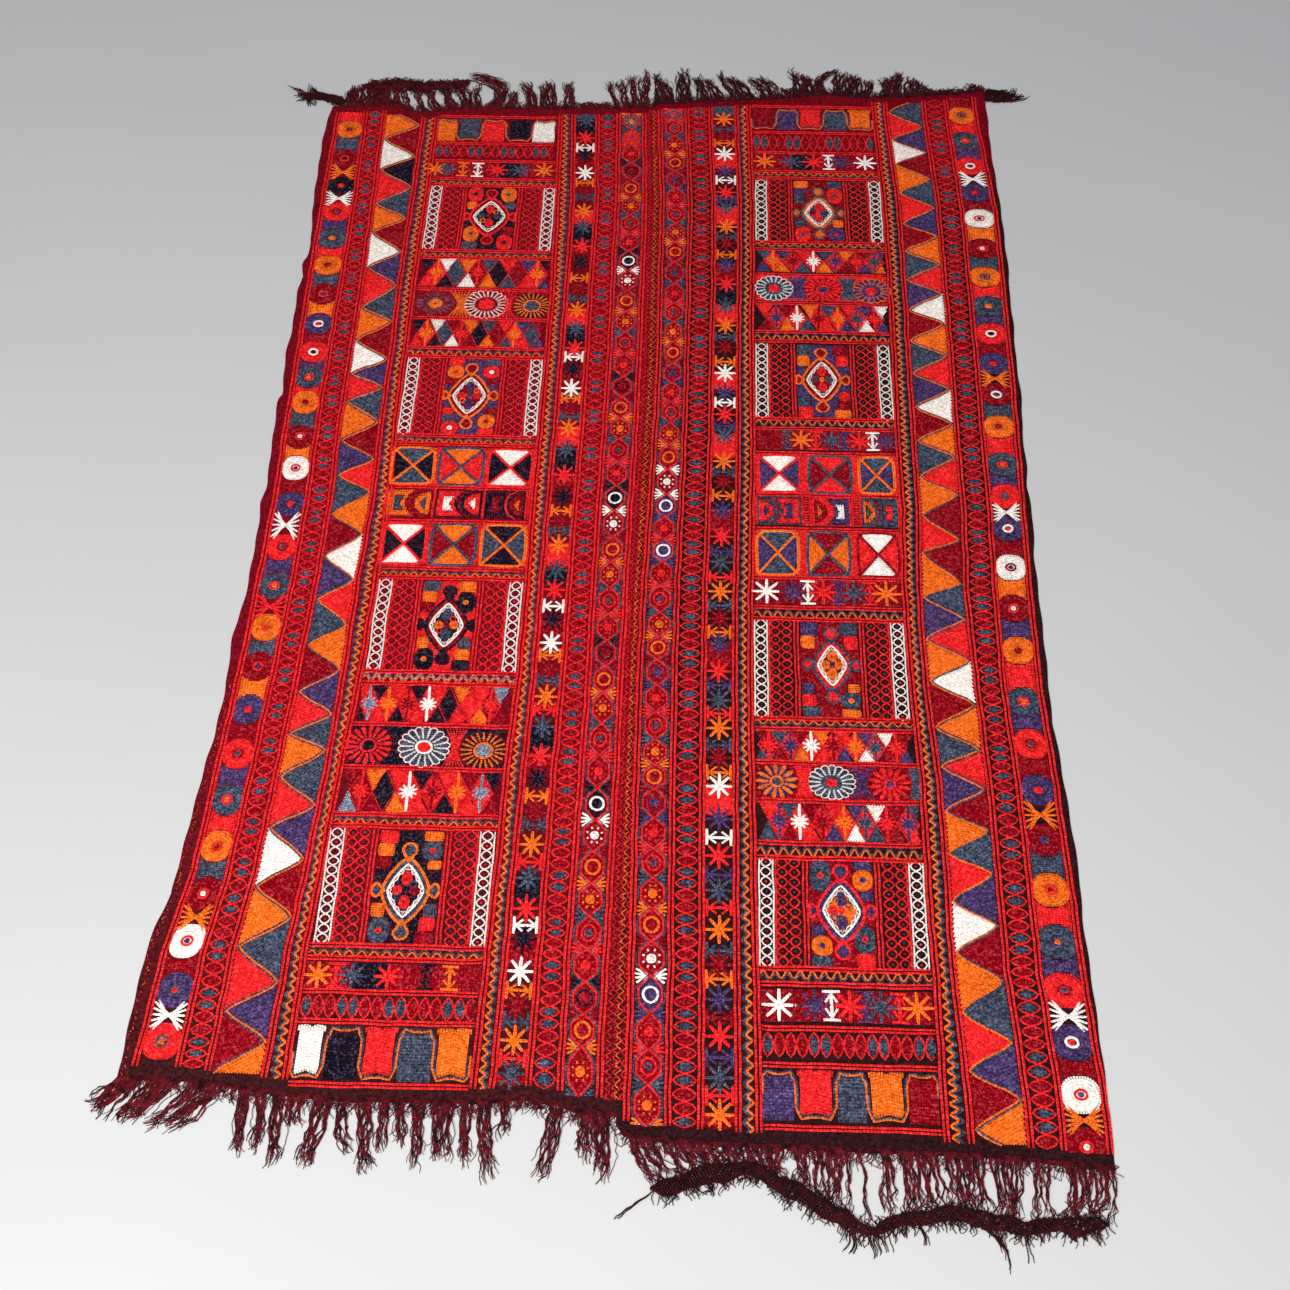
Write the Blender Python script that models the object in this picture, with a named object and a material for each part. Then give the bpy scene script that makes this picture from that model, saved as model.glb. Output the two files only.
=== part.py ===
"""Hand-embroidered wool cover of two loom-width panels, laid flat with its warp-end fringes.

Metres, +Z up. The underside lies on z = 0 and the long side runs along Y.
The plan is laid out in millimetres, as read on the cloth lying flat, and
plan_point() turns it into metres with the origin at the middle of the whole
outline. Every piece is a flat outline with a thickness, because the cloth, the
fringe yarns and the twined headings all lie on the floor.
"""

from math import hypot
from typing import NamedTuple

import bmesh
import bpy

MM = 0.001

# Middle of the whole outline, fringes and corner tails included, on the plan (mm).
PLAN_CENTRE_X = 0.0
PLAN_CENTRE_Y = -34.638

# Thicknesses (mm): wool ground with its chain stitch, the woven edge and loose
# yarns, the twined headings, and the braided corner tails.
CLOTH_THICK = 3.0
YARN_THICK = 2.4
HEADING_THICK = 8.0
TAIL_THICK = 9.0

# Joints between pieces (mm): the narrow edge strip that carries the fringe roots,
# and the clearances at the seam, beside that strip and at a heading or tail.
STRIP_WIDE = 4.0
SEAM_GAP = 0.35
STRIP_GAP = 0.35
HEADING_GAP = 0.45

# Outline spacing (mm).
LONG_STEP = 32.0
END_STEP = 24.0

# Fringe yarns: half width as a share of the spacing, its limits (mm), and taper.
ROOT_SHARE = 0.32
ROOT_HALF_MAX = 3.0
ROOT_HALF_MIN = 0.9
TIP_TAPER = 0.6
SLIGHT_BOW = 3.0
STRONG_BOW = 14.0

WINE = (0.11, 0.012, 0.018, 1.0)
GROUND_BROWN = (0.045, 0.010, 0.012, 1.0)
EMBROIDERY_RED = (0.62, 0.02, 0.03, 1.0)


class Edge(NamedTuple):
    """A row of an edge: place along it, and how far out it lies (mm)."""

    at: float
    out: float


class Lock(NamedTuple):
    """A lock of fringe: its roots, its first and last tip, its bows and its yarn count."""

    root_a: float
    root_b: float
    tip_a: tuple
    tip_b: tuple
    bow_a: float
    bow_b: float
    count: int


class Band(NamedTuple):
    """A row across a twined heading: place along X, and its two edges (mm)."""

    x: float
    inner: float
    outer: float


# The two selvedges and the seam: at = Y, out = X.
LEFT_SELVEDGE = (
    Edge(-1170, -740), Edge(-1050, -740), Edge(-950, -737), Edge(-900, -730), Edge(-850, -717),
    Edge(-800, -715), Edge(-700, -710), Edge(-600, -705), Edge(-550, -700), Edge(-450, -697),
    Edge(-360, -702), Edge(-330, -704), Edge(-250, -695), Edge(-80, -697), Edge(-20, -702),
    Edge(20, -697), Edge(100, -702), Edge(220, -708), Edge(246, -710), Edge(262, -703),
    Edge(350, -711), Edge(370, -713), Edge(440, -710), Edge(560, -715), Edge(600, -711),
    Edge(640, -717), Edge(660, -710), Edge(700, -708), Edge(800, -718), Edge(850, -722),
    Edge(1050, -729), Edge(1100, -728), Edge(1175, -721),
)
RIGHT_SELVEDGE = (
    Edge(-1265, 722), Edge(-1150, 724), Edge(-950, 722), Edge(-850, 720), Edge(-770, 724),
    Edge(-650, 720), Edge(-500, 714), Edge(-480, 711), Edge(-350, 714), Edge(-250, 715),
    Edge(-100, 716), Edge(-60, 720), Edge(-30, 722), Edge(20, 721), Edge(60, 719),
    Edge(100, 723), Edge(200, 723), Edge(280, 730), Edge(400, 729), Edge(500, 733),
    Edge(600, 733), Edge(650, 738), Edge(700, 737), Edge(850, 738), Edge(1050, 733),
    Edge(1150, 735), Edge(1265, 735),
)
SEAM = (
    Edge(-1240, 2), Edge(-1150, 0), Edge(-950, -2), Edge(-600, -4), Edge(-200, -2),
    Edge(0, 2), Edge(400, 6), Edge(850, 4), Edge(1150, -10), Edge(1200, -11),
)

# The four woven ends: at = X, out = Y.
TOP_LEFT_END = (
    Edge(-722, 1160), Edge(-650, 1168), Edge(-600, 1172), Edge(-530, 1150), Edge(-500, 1150),
    Edge(-450, 1165), Edge(-300, 1168), Edge(-150, 1172), Edge(-8, 1180),
)
TOP_RIGHT_END = (
    Edge(-12, 1191), Edge(100, 1205), Edge(200, 1215), Edge(300, 1225), Edge(380, 1240),
    Edge(450, 1230), Edge(550, 1235), Edge(620, 1245), Edge(680, 1250), Edge(736, 1266),
)
BOTTOM_LEFT_END = (
    Edge(-741, -1165), Edge(-650, -1165), Edge(-560, -1175), Edge(-480, -1185), Edge(-400, -1190),
    Edge(-200, -1188), Edge(-130, -1180), Edge(-80, -1190), Edge(-50, -1200), Edge(2, -1202),
)
BOTTOM_RIGHT_END = (
    Edge(0, -1212), Edge(14, -1232), Edge(50, -1238), Edge(150, -1243), Edge(300, -1245),
    Edge(450, -1248), Edge(550, -1250), Edge(650, -1258), Edge(724, -1262),
)

# Twined headings that still bind the warp ends, with X, near edge and far edge.
TOP_HEADING = (
    Band(-662, 1226, 1236), Band(-645, 1224, 1246), Band(-600, 1226, 1256), Band(-560, 1225, 1255),
    Band(-520, 1223, 1250), Band(-480, 1225, 1252), Band(-450, 1228, 1256), Band(-430, 1236, 1262),
    Band(-420, 1243, 1256),
)
BOTTOM_HEADING = (
    Band(52, -1304, -1316), Band(66, -1296, -1321), Band(90, -1287, -1317), Band(120, -1279, -1309),
    Band(150, -1266, -1300), Band(185, -1264, -1288), Band(212, -1271, -1294), Band(240, -1284, -1314),
    Band(275, -1300, -1330), Band(305, -1318, -1347), Band(335, -1334, -1363), Band(352, -1351, -1368),
    Band(370, -1354, -1370), Band(392, -1341, -1362), Band(425, -1333, -1354), Band(465, -1323, -1347),
    Band(505, -1322, -1347), Band(545, -1333, -1361), Band(585, -1340, -1362), Band(625, -1336, -1359),
    Band(660, -1330, -1360), Band(690, -1334, -1355), Band(704, -1339, -1350),
)
# Loose ends below the lower heading, and its unravelled left tail.
HEADING_ENDS = (
    Lock(58, 58, (8, -1356), (8, -1356), 0, 0, 1),
    Lock(338, 346, (330, -1390), (345, -1396), -4, -4, 2),
    Lock(362, 390, (366, -1402), (392, -1390), 0, 0, 2),
    Lock(432, 432, (448, -1380), (448, -1380), 0, 0, 1),
    Lock(520, 548, (548, -1374), (562, -1415), 0, 8, 2),
    Lock(588, 588, (584, -1400), (584, -1400), 0, 0, 1),
    Lock(644, 644, (646, -1369), (646, -1369), 0, 0, 1),
)

# Corner tails: the outline in order round the tail (mm).
TOP_LEFT_TAIL = (
    (-722, 1160.5), (-726, 1173), (-748, 1182), (-770, 1184), (-781, 1160), (-776, 1182), (-790, 1183),
    (-812, 1178), (-800, 1188), (-812, 1196), (-818, 1210), (-835, 1233), (-815, 1220), (-800, 1224),
    (-792, 1238), (-782, 1226), (-773, 1204), (-750, 1203), (-722, 1199), (-700, 1184), (-694, 1174),
    (-694, 1163.6),
)
TOP_RIGHT_TAIL = (
    (735.4, 1216), (750, 1211), (772, 1213), (800, 1219), (824, 1226), (835, 1238), (822, 1245),
    (808, 1248), (806, 1272), (796, 1256), (776, 1262), (755, 1262), (744, 1272), (735.4, 1262),
)

TOP_LEFT_LOCKS = (
    Lock(-680, -654, (-692, 1216), (-668, 1234), 0, 0, 4),
    Lock(-648, -548, (-642, 1226), (-572, 1228), 0, 3, 13),
    Lock(-515, -506, (-546, 1226), (-536, 1226), -8, -8, 2),
    Lock(-496, -472, (-526, 1226), (-508, 1226), -4, -4, 3),
    Lock(-464, -442, (-492, 1228), (-470, 1230), -3, -3, 3),
    Lock(-434, -410, (-458, 1232), (-432, 1240), 4, 4, 4),
    Lock(-398, -390, (-414, 1240), (-404, 1264), -4, -2, 2),
    Lock(-382, -352, (-426, 1300), (-424, 1314), 40, 52, 4),
    Lock(-336, -318, (-326, 1232), (-316, 1236), 2, 2, 3),
    Lock(-290, -267, (-310, 1266), (-296, 1270), 6, 6, 3),
    Lock(-257, -219, (-264, 1262), (-234, 1282), 0, 0, 5),
    Lock(-209, -180, (-208, 1268), (-190, 1278), 0, 0, 3),
    Lock(-172, -102, (-168, 1198), (-104, 1188), 0, 0, 6),
    Lock(-90, -82, (-122, 1276), (-112, 1286), 0, 0, 2),
    Lock(-74, -18, (-96, 1284), (-18, 1330), 0, 0, 7),
)
TOP_RIGHT_LOCKS = (
    Lock(-6, 40, (-10, 1326), (26, 1276), 0, 0, 6),
    Lock(48, 80, (42, 1300), (64, 1346), 0, 0, 4),
    Lock(88, 156, (76, 1304), (112, 1290), 4, 4, 6),
    Lock(164, 222, (126, 1318), (172, 1300), 4, 4, 6),
    Lock(232, 282, (196, 1304), (236, 1314), 5, 5, 5),
    Lock(294, 320, (276, 1264), (300, 1262), 0, 0, 3),
    Lock(328, 356, (308, 1340), (338, 1292), 0, 0, 4),
    Lock(372, 384, (364, 1302), (398, 1330), -14, -20, 2),
    Lock(400, 466, (412, 1338), (460, 1300), 0, 0, 6),
    Lock(476, 488, (472, 1296), (484, 1284), 0, 0, 2),
    Lock(498, 544, (506, 1304), (556, 1336), 0, 0, 5),
    Lock(554, 608, (568, 1326), (606, 1262), 0, 0, 5),
    Lock(618, 688, (620, 1260), (690, 1268), 0, 0, 6),
    Lock(698, 726, (704, 1296), (724, 1284), 0, 0, 3),
)
BOTTOM_LEFT_LOCKS = (
    Lock(-736, -702, (-786, -1190), (-758, -1240), 0, 0, 6),
    Lock(-690, -642, (-746, -1244), (-718, -1238), 0, 4, 6),
    Lock(-630, -580, (-702, -1240), (-650, -1252), 6, 8, 6),
    Lock(-566, -566, (-568, -1208), (-568, -1208), 0, 0, 1),
    Lock(-556, -538, (-552, -1292), (-540, -1288), 0, 0, 3),
    Lock(-530, -516, (-520, -1280), (-510, -1290), 0, 0, 3),
    Lock(-507, -490, (-502, -1302), (-484, -1292), 0, 0, 3),
    Lock(-481, -456, (-478, -1238), (-462, -1230), -4, 0, 3),
    Lock(-444, -416, (-462, -1298), (-440, -1300), 2, 4, 4),
    Lock(-406, -392, (-388, -1284), (-374, -1280), -8, -8, 2),
    Lock(-382, -356, (-364, -1326), (-350, -1304), 0, 0, 3),
    Lock(-346, -332, (-343, -1280), (-332, -1275), 0, 0, 2),
    Lock(-322, -310, (-316, -1266), (-304, -1270), 0, 0, 2),
    Lock(-300, -280, (-290, -1302), (-276, -1300), 0, 0, 3),
    Lock(-270, -236, (-262, -1278), (-242, -1292), 0, 0, 4),
    Lock(-226, -213, (-224, -1290), (-208, -1292), 0, 0, 3),
    Lock(-203, -182, (-182, -1318), (-168, -1312), -4, -4, 3),
    Lock(-171, -158, (-168, -1252), (-158, -1242), 0, 0, 2),
    Lock(-148, -106, (-148, -1196), (-106, -1194), 0, 0, 4),
    Lock(-96, -76, (-120, -1302), (-102, -1324), 3, 5, 3),
    Lock(-52, -8, (-56, -1264), (0, -1330), 0, 0, 7),
)
BOTTOM_RIGHT_LOCKS = (
    Lock(18, 58, (66, -1297), (94, -1288), -10, -4, 5),
    Lock(68, 146, (102, -1287), (164, -1268), 0, 0, 9),
    Lock(157, 246, (172, -1266), (254, -1296), 0, 0, 9),
    Lock(257, 342, (264, -1298), (336, -1338), 0, 0, 9),
    Lock(355, 355, (368, -1306), (368, -1306), 0, 0, 1),
    Lock(388, 402, (387, -1346), (403, -1340), 0, 0, 2),
    Lock(413, 466, (418, -1338), (478, -1326), 0, 0, 7),
    Lock(477, 532, (488, -1324), (541, -1336), 0, 0, 7),
    Lock(543, 592, (552, -1338), (580, -1342), 0, 0, 5),
    Lock(606, 628, (594, -1342), (622, -1340), 0, 0, 2),
    Lock(646, 716, (640, -1336), (698, -1340), 6, 12, 8),
)


def clear_scene():
    """Remove whatever the file opened with."""
    for item in list(bpy.data.objects):
        bpy.data.objects.remove(item, do_unlink=True)


def plan_point(x, y):
    """Turn a plan point in millimetres into metres about the origin."""
    return ((x - PLAN_CENTRE_X) * MM, (y - PLAN_CENTRE_Y) * MM)


def edge_out(rows, at):
    """Read an edge table between its rows."""
    if at <= rows[0].at:
        return rows[0].out
    for low, high in zip(rows, rows[1:]):
        if at <= high.at:
            share = (at - low.at) / (high.at - low.at)
            return low.out + share * (high.out - low.out)
    return rows[-1].out


def band_edge(rows, x, column):
    """Read one edge of a heading between its rows."""
    return edge_out([Edge(row.x, getattr(row, column)) for row in rows], x)


def spread(first, last, step):
    """Even stations from first to last, both included, no further apart than step."""
    count = max(1, round(abs(last - first) / step))
    return [first + (last - first) * i / count for i in range(count + 1)]


def material(name, color, roughness):
    """A plain wool finish."""
    finish = bpy.data.materials.new(name)
    finish.use_nodes = True
    shader = finish.node_tree.nodes["Principled BSDF"]
    shader.inputs["Base Color"].default_value = color
    shader.inputs["Roughness"].default_value = roughness
    shader.inputs["Metallic"].default_value = 0.0
    finish.diffuse_color = color
    return finish


def flat_piece(name, outline, thick, finish):
    """Stand a closed plan outline up as one solid on the floor.

    The outline is a filled 2D curve with half the thickness each way, made a
    mesh with its caps welded.
    """
    data = bpy.data.curves.new(name, "CURVE")
    data.dimensions = "2D"
    data.fill_mode = "BOTH"
    data.extrude = thick * MM / 2
    spline = data.splines.new("POLY")
    spline.points.add(len(outline) - 1)
    for point, (x, y) in zip(spline.points, outline):
        point.co = (*plan_point(x, y), 0.0, 1.0)
    spline.use_cyclic_u = True
    guide = bpy.data.objects.new(name, data)
    bpy.context.scene.collection.objects.link(guide)
    bpy.context.view_layer.update()
    mesh = bpy.data.meshes.new_from_object(guide.evaluated_get(bpy.context.evaluated_depsgraph_get()))
    bpy.data.objects.remove(guide, do_unlink=True)

    shape = bmesh.new()
    shape.from_mesh(mesh)
    bmesh.ops.remove_doubles(shape, verts=shape.verts, dist=0.02 * MM)
    for vert in shape.verts:
        vert.co.z += thick * MM / 2
    bmesh.ops.recalc_face_normals(shape, faces=shape.faces)
    bmesh.ops.triangulate(shape, faces=shape.faces)
    shape.to_mesh(mesh)
    shape.free()
    mesh.name = name
    piece = bpy.data.objects.new(name, mesh)
    mesh.materials.clear()
    mesh.materials.append(finish)
    PARTS.objects.link(piece)
    return piece


def panel_outline(left_edge, right_edge, top_end, bottom_end, left_gap, right_gap):
    """Outline of one loom width: up the left edge, along the top end, down and back."""
    inset = STRIP_WIDE + STRIP_GAP

    def left_at(y):
        return edge_out(left_edge, y) + left_gap

    def right_at(y):
        return edge_out(right_edge, y) - right_gap

    corners = end_corners(left_edge, right_edge, top_end, bottom_end, left_gap, right_gap)
    bottom_left, bottom_right, top_left, top_right = corners
    points = []
    for y in spread(bottom_left[1] + inset, top_left[1] - inset, LONG_STEP)[:-1]:
        points.append((left_at(y), y))
    for x in spread(top_left[0], top_right[0], END_STEP)[:-1]:
        points.append((x, edge_out(top_end, x) - inset))
    for y in spread(top_right[1] - inset, bottom_right[1] + inset, LONG_STEP)[:-1]:
        points.append((right_at(y), y))
    for x in spread(bottom_right[0], bottom_left[0], END_STEP)[:-1]:
        points.append((x, edge_out(bottom_end, x) + inset))
    return points


def end_corners(left_edge, right_edge, top_end, bottom_end, left_gap, right_gap):
    """The four corners of a loom width, bottom pair first (x, y of the woven end)."""
    corners = []
    for end in (bottom_end, top_end):
        for edge, gap in ((left_edge, left_gap), (right_edge, -right_gap)):
            x = edge_out(edge, end[0].out) + gap
            y = edge_out(end, x)
            x = edge_out(edge, y) + gap
            corners.append((x, y))
    return corners


def yarn_sides(root, tip, half_root, half_tip, bow, side):
    """Left and right side points of one yarn, root to tip, along a bowed path."""
    chord_x = tip[0] - root[0]
    chord_y = tip[1] - root[1]
    length = hypot(chord_x, chord_y)
    across = (chord_y * side / length, -chord_x * side / length)
    middle = ((root[0] + tip[0]) / 2 + 2 * bow * across[0], (root[1] + tip[1]) / 2 + 2 * bow * across[1])
    steps = 3
    if abs(bow) < SLIGHT_BOW:
        steps = 2
    if abs(bow) > STRONG_BOW:
        steps = 6
    left = []
    right = []
    for i in range(1, steps + 1):
        t = i / steps
        x = (1 - t) ** 2 * root[0] + 2 * t * (1 - t) * middle[0] + t * t * tip[0]
        y = (1 - t) ** 2 * root[1] + 2 * t * (1 - t) * middle[1] + t * t * tip[1]
        dx = 2 * (1 - t) * (middle[0] - root[0]) + 2 * t * (tip[0] - middle[0])
        dy = 2 * (1 - t) * (middle[1] - root[1]) + 2 * t * (tip[1] - middle[1])
        run = hypot(dx, dy)
        normal = (-dy * side / run, dx * side / run)
        half = half_root + (half_tip - half_root) * t
        left.append((x + normal[0] * half, y + normal[1] * half))
        right.append((x - normal[0] * half, y - normal[1] * half))
    return left, right


def short_of_heading(point, heading, side):
    """Draw a yarn point that would lie in a heading back to the heading's near edge."""
    if not heading or not heading[0].x <= point[0] <= heading[-1].x:
        return point
    near = band_edge(heading, point[0], "inner")
    far = band_edge(heading, point[0], "outer")
    if near * side < point[1] * side < far * side:
        return (point[0], near)
    return point


def lock_yarns(locks, end_at, side, heading=()):
    """Outline points of every yarn, in order along X, each with its root span.

    Args:
        locks: the rows of Lock.
        end_at: function from X to the Y of the edge that holds the roots.
        side: 1 where the yarns run to +Y, -1 where they run to -Y.
        heading: the rows of the twined heading in front of these yarns, if any.

    Returns:
        A list of (x_from, x_to, points) with the points from left root to right root.
    """
    yarns = []
    for lock in locks:
        gaps = max(1, lock.count - 1)
        root_pitch = max(2.5, (lock.root_b - lock.root_a) / gaps)
        tip_pitch = hypot(lock.tip_b[0] - lock.tip_a[0], lock.tip_b[1] - lock.tip_a[1]) / gaps
        half_root = min(ROOT_HALF_MAX, max(ROOT_HALF_MIN, root_pitch * ROOT_SHARE))
        half_tip = min(half_root * TIP_TAPER, max(0.5, tip_pitch * ROOT_SHARE * TIP_TAPER))
        for i in range(lock.count):
            share = i / gaps
            root_x = lock.root_a + share * (lock.root_b - lock.root_a)
            tip = (
                lock.tip_a[0] + share * (lock.tip_b[0] - lock.tip_a[0]),
                lock.tip_a[1] + share * (lock.tip_b[1] - lock.tip_a[1]),
            )
            bow = lock.bow_a + share * (lock.bow_b - lock.bow_a)
            root = (root_x, end_at(root_x))
            left, right = yarn_sides(root, tip, half_root, half_tip, bow, side)
            loose = [short_of_heading(point, heading, side) for point in (*left, *reversed(right))]
            x_from = root_x - half_root
            x_to = root_x + half_root
            points = [(x_from, end_at(x_from)), *loose, (x_to, end_at(x_to))]
            yarns.append((x_from, x_to, points))
    return yarns


def comb_outline(x_first, x_last, outer_at, inner_at, yarns, step):
    """Outline of a strip with yarns along its outer edge: out along it, back along the other."""
    points = []
    reached = x_first
    for x_from, x_to, yarn in yarns:
        if reached == x_first:
            points.append((reached, outer_at(reached)))
        points.extend((x, outer_at(x)) for x in spread(reached, x_from, step)[1:-1])
        points.extend(yarn)
        reached = x_to
    points.extend((x, outer_at(x)) for x in spread(reached, x_last, step)[1:])
    points.extend((x, inner_at(x)) for x in spread(x_last, x_first, step))
    return points


def build_fringe(name, end, corners, locks, side, heading=()):
    """One woven edge strip with its loose warp yarns."""

    def outer_at(x):
        return edge_out(end, x)

    def inner_at(x):
        return outer_at(x) - side * STRIP_WIDE

    yarns = lock_yarns(locks, outer_at, side, heading)
    outline = comb_outline(corners[0][0], corners[1][0], outer_at, inner_at, yarns, END_STEP)
    return flat_piece(name, outline, YARN_THICK, edge_finish)


def build_heading(name, rows, ends, side):
    """A twined heading: a thick band, with any loose ends on its far edge."""

    def inner_at(x):
        return band_edge(rows, x, "inner") + side * HEADING_GAP

    def outer_at(x):
        return band_edge(rows, x, "outer")

    yarns = lock_yarns(ends, outer_at, side)
    outline = comb_outline(rows[0].x, rows[-1].x, outer_at, inner_at, yarns, 12.0)
    return flat_piece(name, outline, HEADING_THICK, heading_finish)


clear_scene()
PARTS = bpy.data.collections.new("embroidered_cover")
bpy.context.scene.collection.children.link(PARTS)

cloth_finish = material("embroidered_wool", EMBROIDERY_RED, 0.9)
edge_finish = material("warp_yarn", WINE, 0.9)
heading_finish = material("twined_yarn", GROUND_BROWN, 0.95)

left_corners = end_corners(LEFT_SELVEDGE, SEAM, TOP_LEFT_END, BOTTOM_LEFT_END, 0.0, SEAM_GAP / 2)
right_corners = end_corners(SEAM, RIGHT_SELVEDGE, TOP_RIGHT_END, BOTTOM_RIGHT_END, SEAM_GAP / 2, 0.0)

left_plan = panel_outline(LEFT_SELVEDGE, SEAM, TOP_LEFT_END, BOTTOM_LEFT_END, 0.0, SEAM_GAP / 2)
right_plan = panel_outline(SEAM, RIGHT_SELVEDGE, TOP_RIGHT_END, BOTTOM_RIGHT_END, SEAM_GAP / 2, 0.0)
flat_piece("panel_left", left_plan, CLOTH_THICK, cloth_finish)
flat_piece("panel_right", right_plan, CLOTH_THICK, cloth_finish)

build_fringe("fringe_top_left", TOP_LEFT_END, left_corners[2:], TOP_LEFT_LOCKS, 1, TOP_HEADING)
build_fringe("fringe_top_right", TOP_RIGHT_END, right_corners[2:], TOP_RIGHT_LOCKS, 1)
build_fringe("fringe_bottom_left", BOTTOM_LEFT_END, left_corners[:2], BOTTOM_LEFT_LOCKS, -1)
build_fringe(
    "fringe_bottom_right", BOTTOM_RIGHT_END, right_corners[:2], BOTTOM_RIGHT_LOCKS, -1, BOTTOM_HEADING
)

build_heading("heading_top_left", TOP_HEADING, (), 1)
build_heading("heading_bottom_right", BOTTOM_HEADING, HEADING_ENDS, -1)

flat_piece("corner_tail_top_left", TOP_LEFT_TAIL, TAIL_THICK, heading_finish)
flat_piece("corner_tail_top_right", TOP_RIGHT_TAIL, TAIL_THICK, heading_finish)
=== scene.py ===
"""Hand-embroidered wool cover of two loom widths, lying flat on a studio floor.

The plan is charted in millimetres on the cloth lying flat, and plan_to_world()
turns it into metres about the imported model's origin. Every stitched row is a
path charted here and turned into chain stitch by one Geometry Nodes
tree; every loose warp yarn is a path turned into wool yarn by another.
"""

import logging
import random
import re
from collections.abc import Callable, Iterable, Sequence
from dataclasses import dataclass, field
from enum import Enum
from math import cos, hypot, pi, radians, sin

import bmesh
import bpy
import numpy as np
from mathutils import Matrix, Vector


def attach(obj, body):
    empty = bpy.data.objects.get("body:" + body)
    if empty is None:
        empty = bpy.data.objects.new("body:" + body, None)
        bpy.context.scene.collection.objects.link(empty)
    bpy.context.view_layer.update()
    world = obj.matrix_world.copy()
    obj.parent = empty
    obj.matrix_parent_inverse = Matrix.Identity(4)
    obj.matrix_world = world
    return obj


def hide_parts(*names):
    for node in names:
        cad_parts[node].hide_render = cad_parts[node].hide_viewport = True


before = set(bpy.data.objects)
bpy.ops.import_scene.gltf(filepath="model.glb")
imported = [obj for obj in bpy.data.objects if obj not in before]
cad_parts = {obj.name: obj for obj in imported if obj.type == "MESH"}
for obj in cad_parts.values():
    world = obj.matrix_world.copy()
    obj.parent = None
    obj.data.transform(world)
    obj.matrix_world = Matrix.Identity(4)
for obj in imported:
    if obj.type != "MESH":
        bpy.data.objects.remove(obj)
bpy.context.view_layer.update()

LOG = logging.getLogger("embroidered_cover")

MM = 0.001
PLAN_CENTRE_Y = -34.638
SEED = 83

ROW_WIDE = 4.2
POINT_STEP = 11.0
SHORTEST_ROW = 2.5
END_GAP = 0.6
LINE_OVERLAP = 6.5
STITCHED_END_Y = 1150.0
STITCH_MAP = "StitchUV"
WEAVE_SHARES = (0.0, 0.22, 0.5, 0.78)

Point = tuple[float, float]
Color = tuple[float, float, float]
Path = np.ndarray


class Yarn(Enum):
    """Dyed wools of the cover, each by the letter used for it in the charts."""

    RED = "R"
    ORANGE = "O"
    SLATE = "S"
    INDIGO = "I"
    MAROON = "M"
    CREAM = "W"
    NAVY = "N"
    PALE = "G"


YARN_ORDER = list(Yarn)


@dataclass(frozen=True)
class WoolFinish:
    """Chain-stitched wool: its colour, how far the skeins vary and how deep the painted shade in its
    stitches goes.
    """

    name: str
    color: Color
    mottle: float = 0.22
    # How strongly the painted shade darkens the low parts of the stitch.
    depth: float = 0.55

    def build(self) -> bpy.types.Material:
        """Make the node material.

        Returns:
            A material whose bump shows the chain of loops along each row.
        """
        graph = Graph.of_material(self.name, self.color)
        place = graph.place()
        split = graph.parts(graph.stitch_map())

        from_middle = graph.math("ABSOLUTE", graph.math("SUBTRACT", (split, "X"), 0.5))
        slanted = graph.math("ADD", (split, "Y"), graph.math("MULTIPLY", from_middle, 1.1))
        loop = graph.math("FRACT", slanted)
        arch = graph.math("SINE", graph.math("MULTIPLY", loop, pi))
        groove = graph.math("SMOOTH_MIN", graph.math("MULTIPLY", from_middle, 7.0), 1.0)
        relief = graph.math("MULTIPLY", graph.math("POWER", arch, 0.6), groove)

        skein = graph.noise(place, 26.0, 3.0)
        speck = graph.noise(place, 250.0, 1.0)
        fibre = graph.noise(place, 900.0, 2.0)
        shade = graph.math("MULTIPLY_ADD", skein, self.mottle * 1.6, 1.0 - self.mottle * 0.8)
        shade = graph.math("MULTIPLY", shade, graph.math("MULTIPLY_ADD", fibre, 0.5, 0.75))
        fleck = 1.2 + 3.2 * self.mottle
        speckled = graph.math("MULTIPLY_ADD", speck, fleck, 1.0 - fleck / 2)
        shade = graph.math("MULTIPLY", shade, graph.math("MAXIMUM", speckled, 0.2))
        # Darker where the stitch relief is low, down the middle of each chain and between its loops: painted
        # shade.
        mottle_and_groove_shade = graph.math("MULTIPLY_ADD", relief, self.depth, 1.08 - self.depth)
        tint = graph.scaled(self.color, graph.math("MULTIPLY", shade, mottle_and_groove_shade))
        # A pale grey is added on the brightest specks: painted glint.
        glint_mask = graph.math("MAXIMUM", graph.math("SUBTRACT", speckled, 1.05), 0.0)
        rubbed = graph.node("ShaderNodeVectorMath", operation="ADD")
        graph.feed(rubbed, 0, tint)
        graph.feed(rubbed, 1, graph.spread(graph.math("MULTIPLY", glint_mask, 0.09)))
        height = graph.math("MULTIPLY_ADD", fibre, 0.35, relief)
        return graph.coat(rubbed, height, (1.0, 0.0013), 0.88, 0.03)


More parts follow.
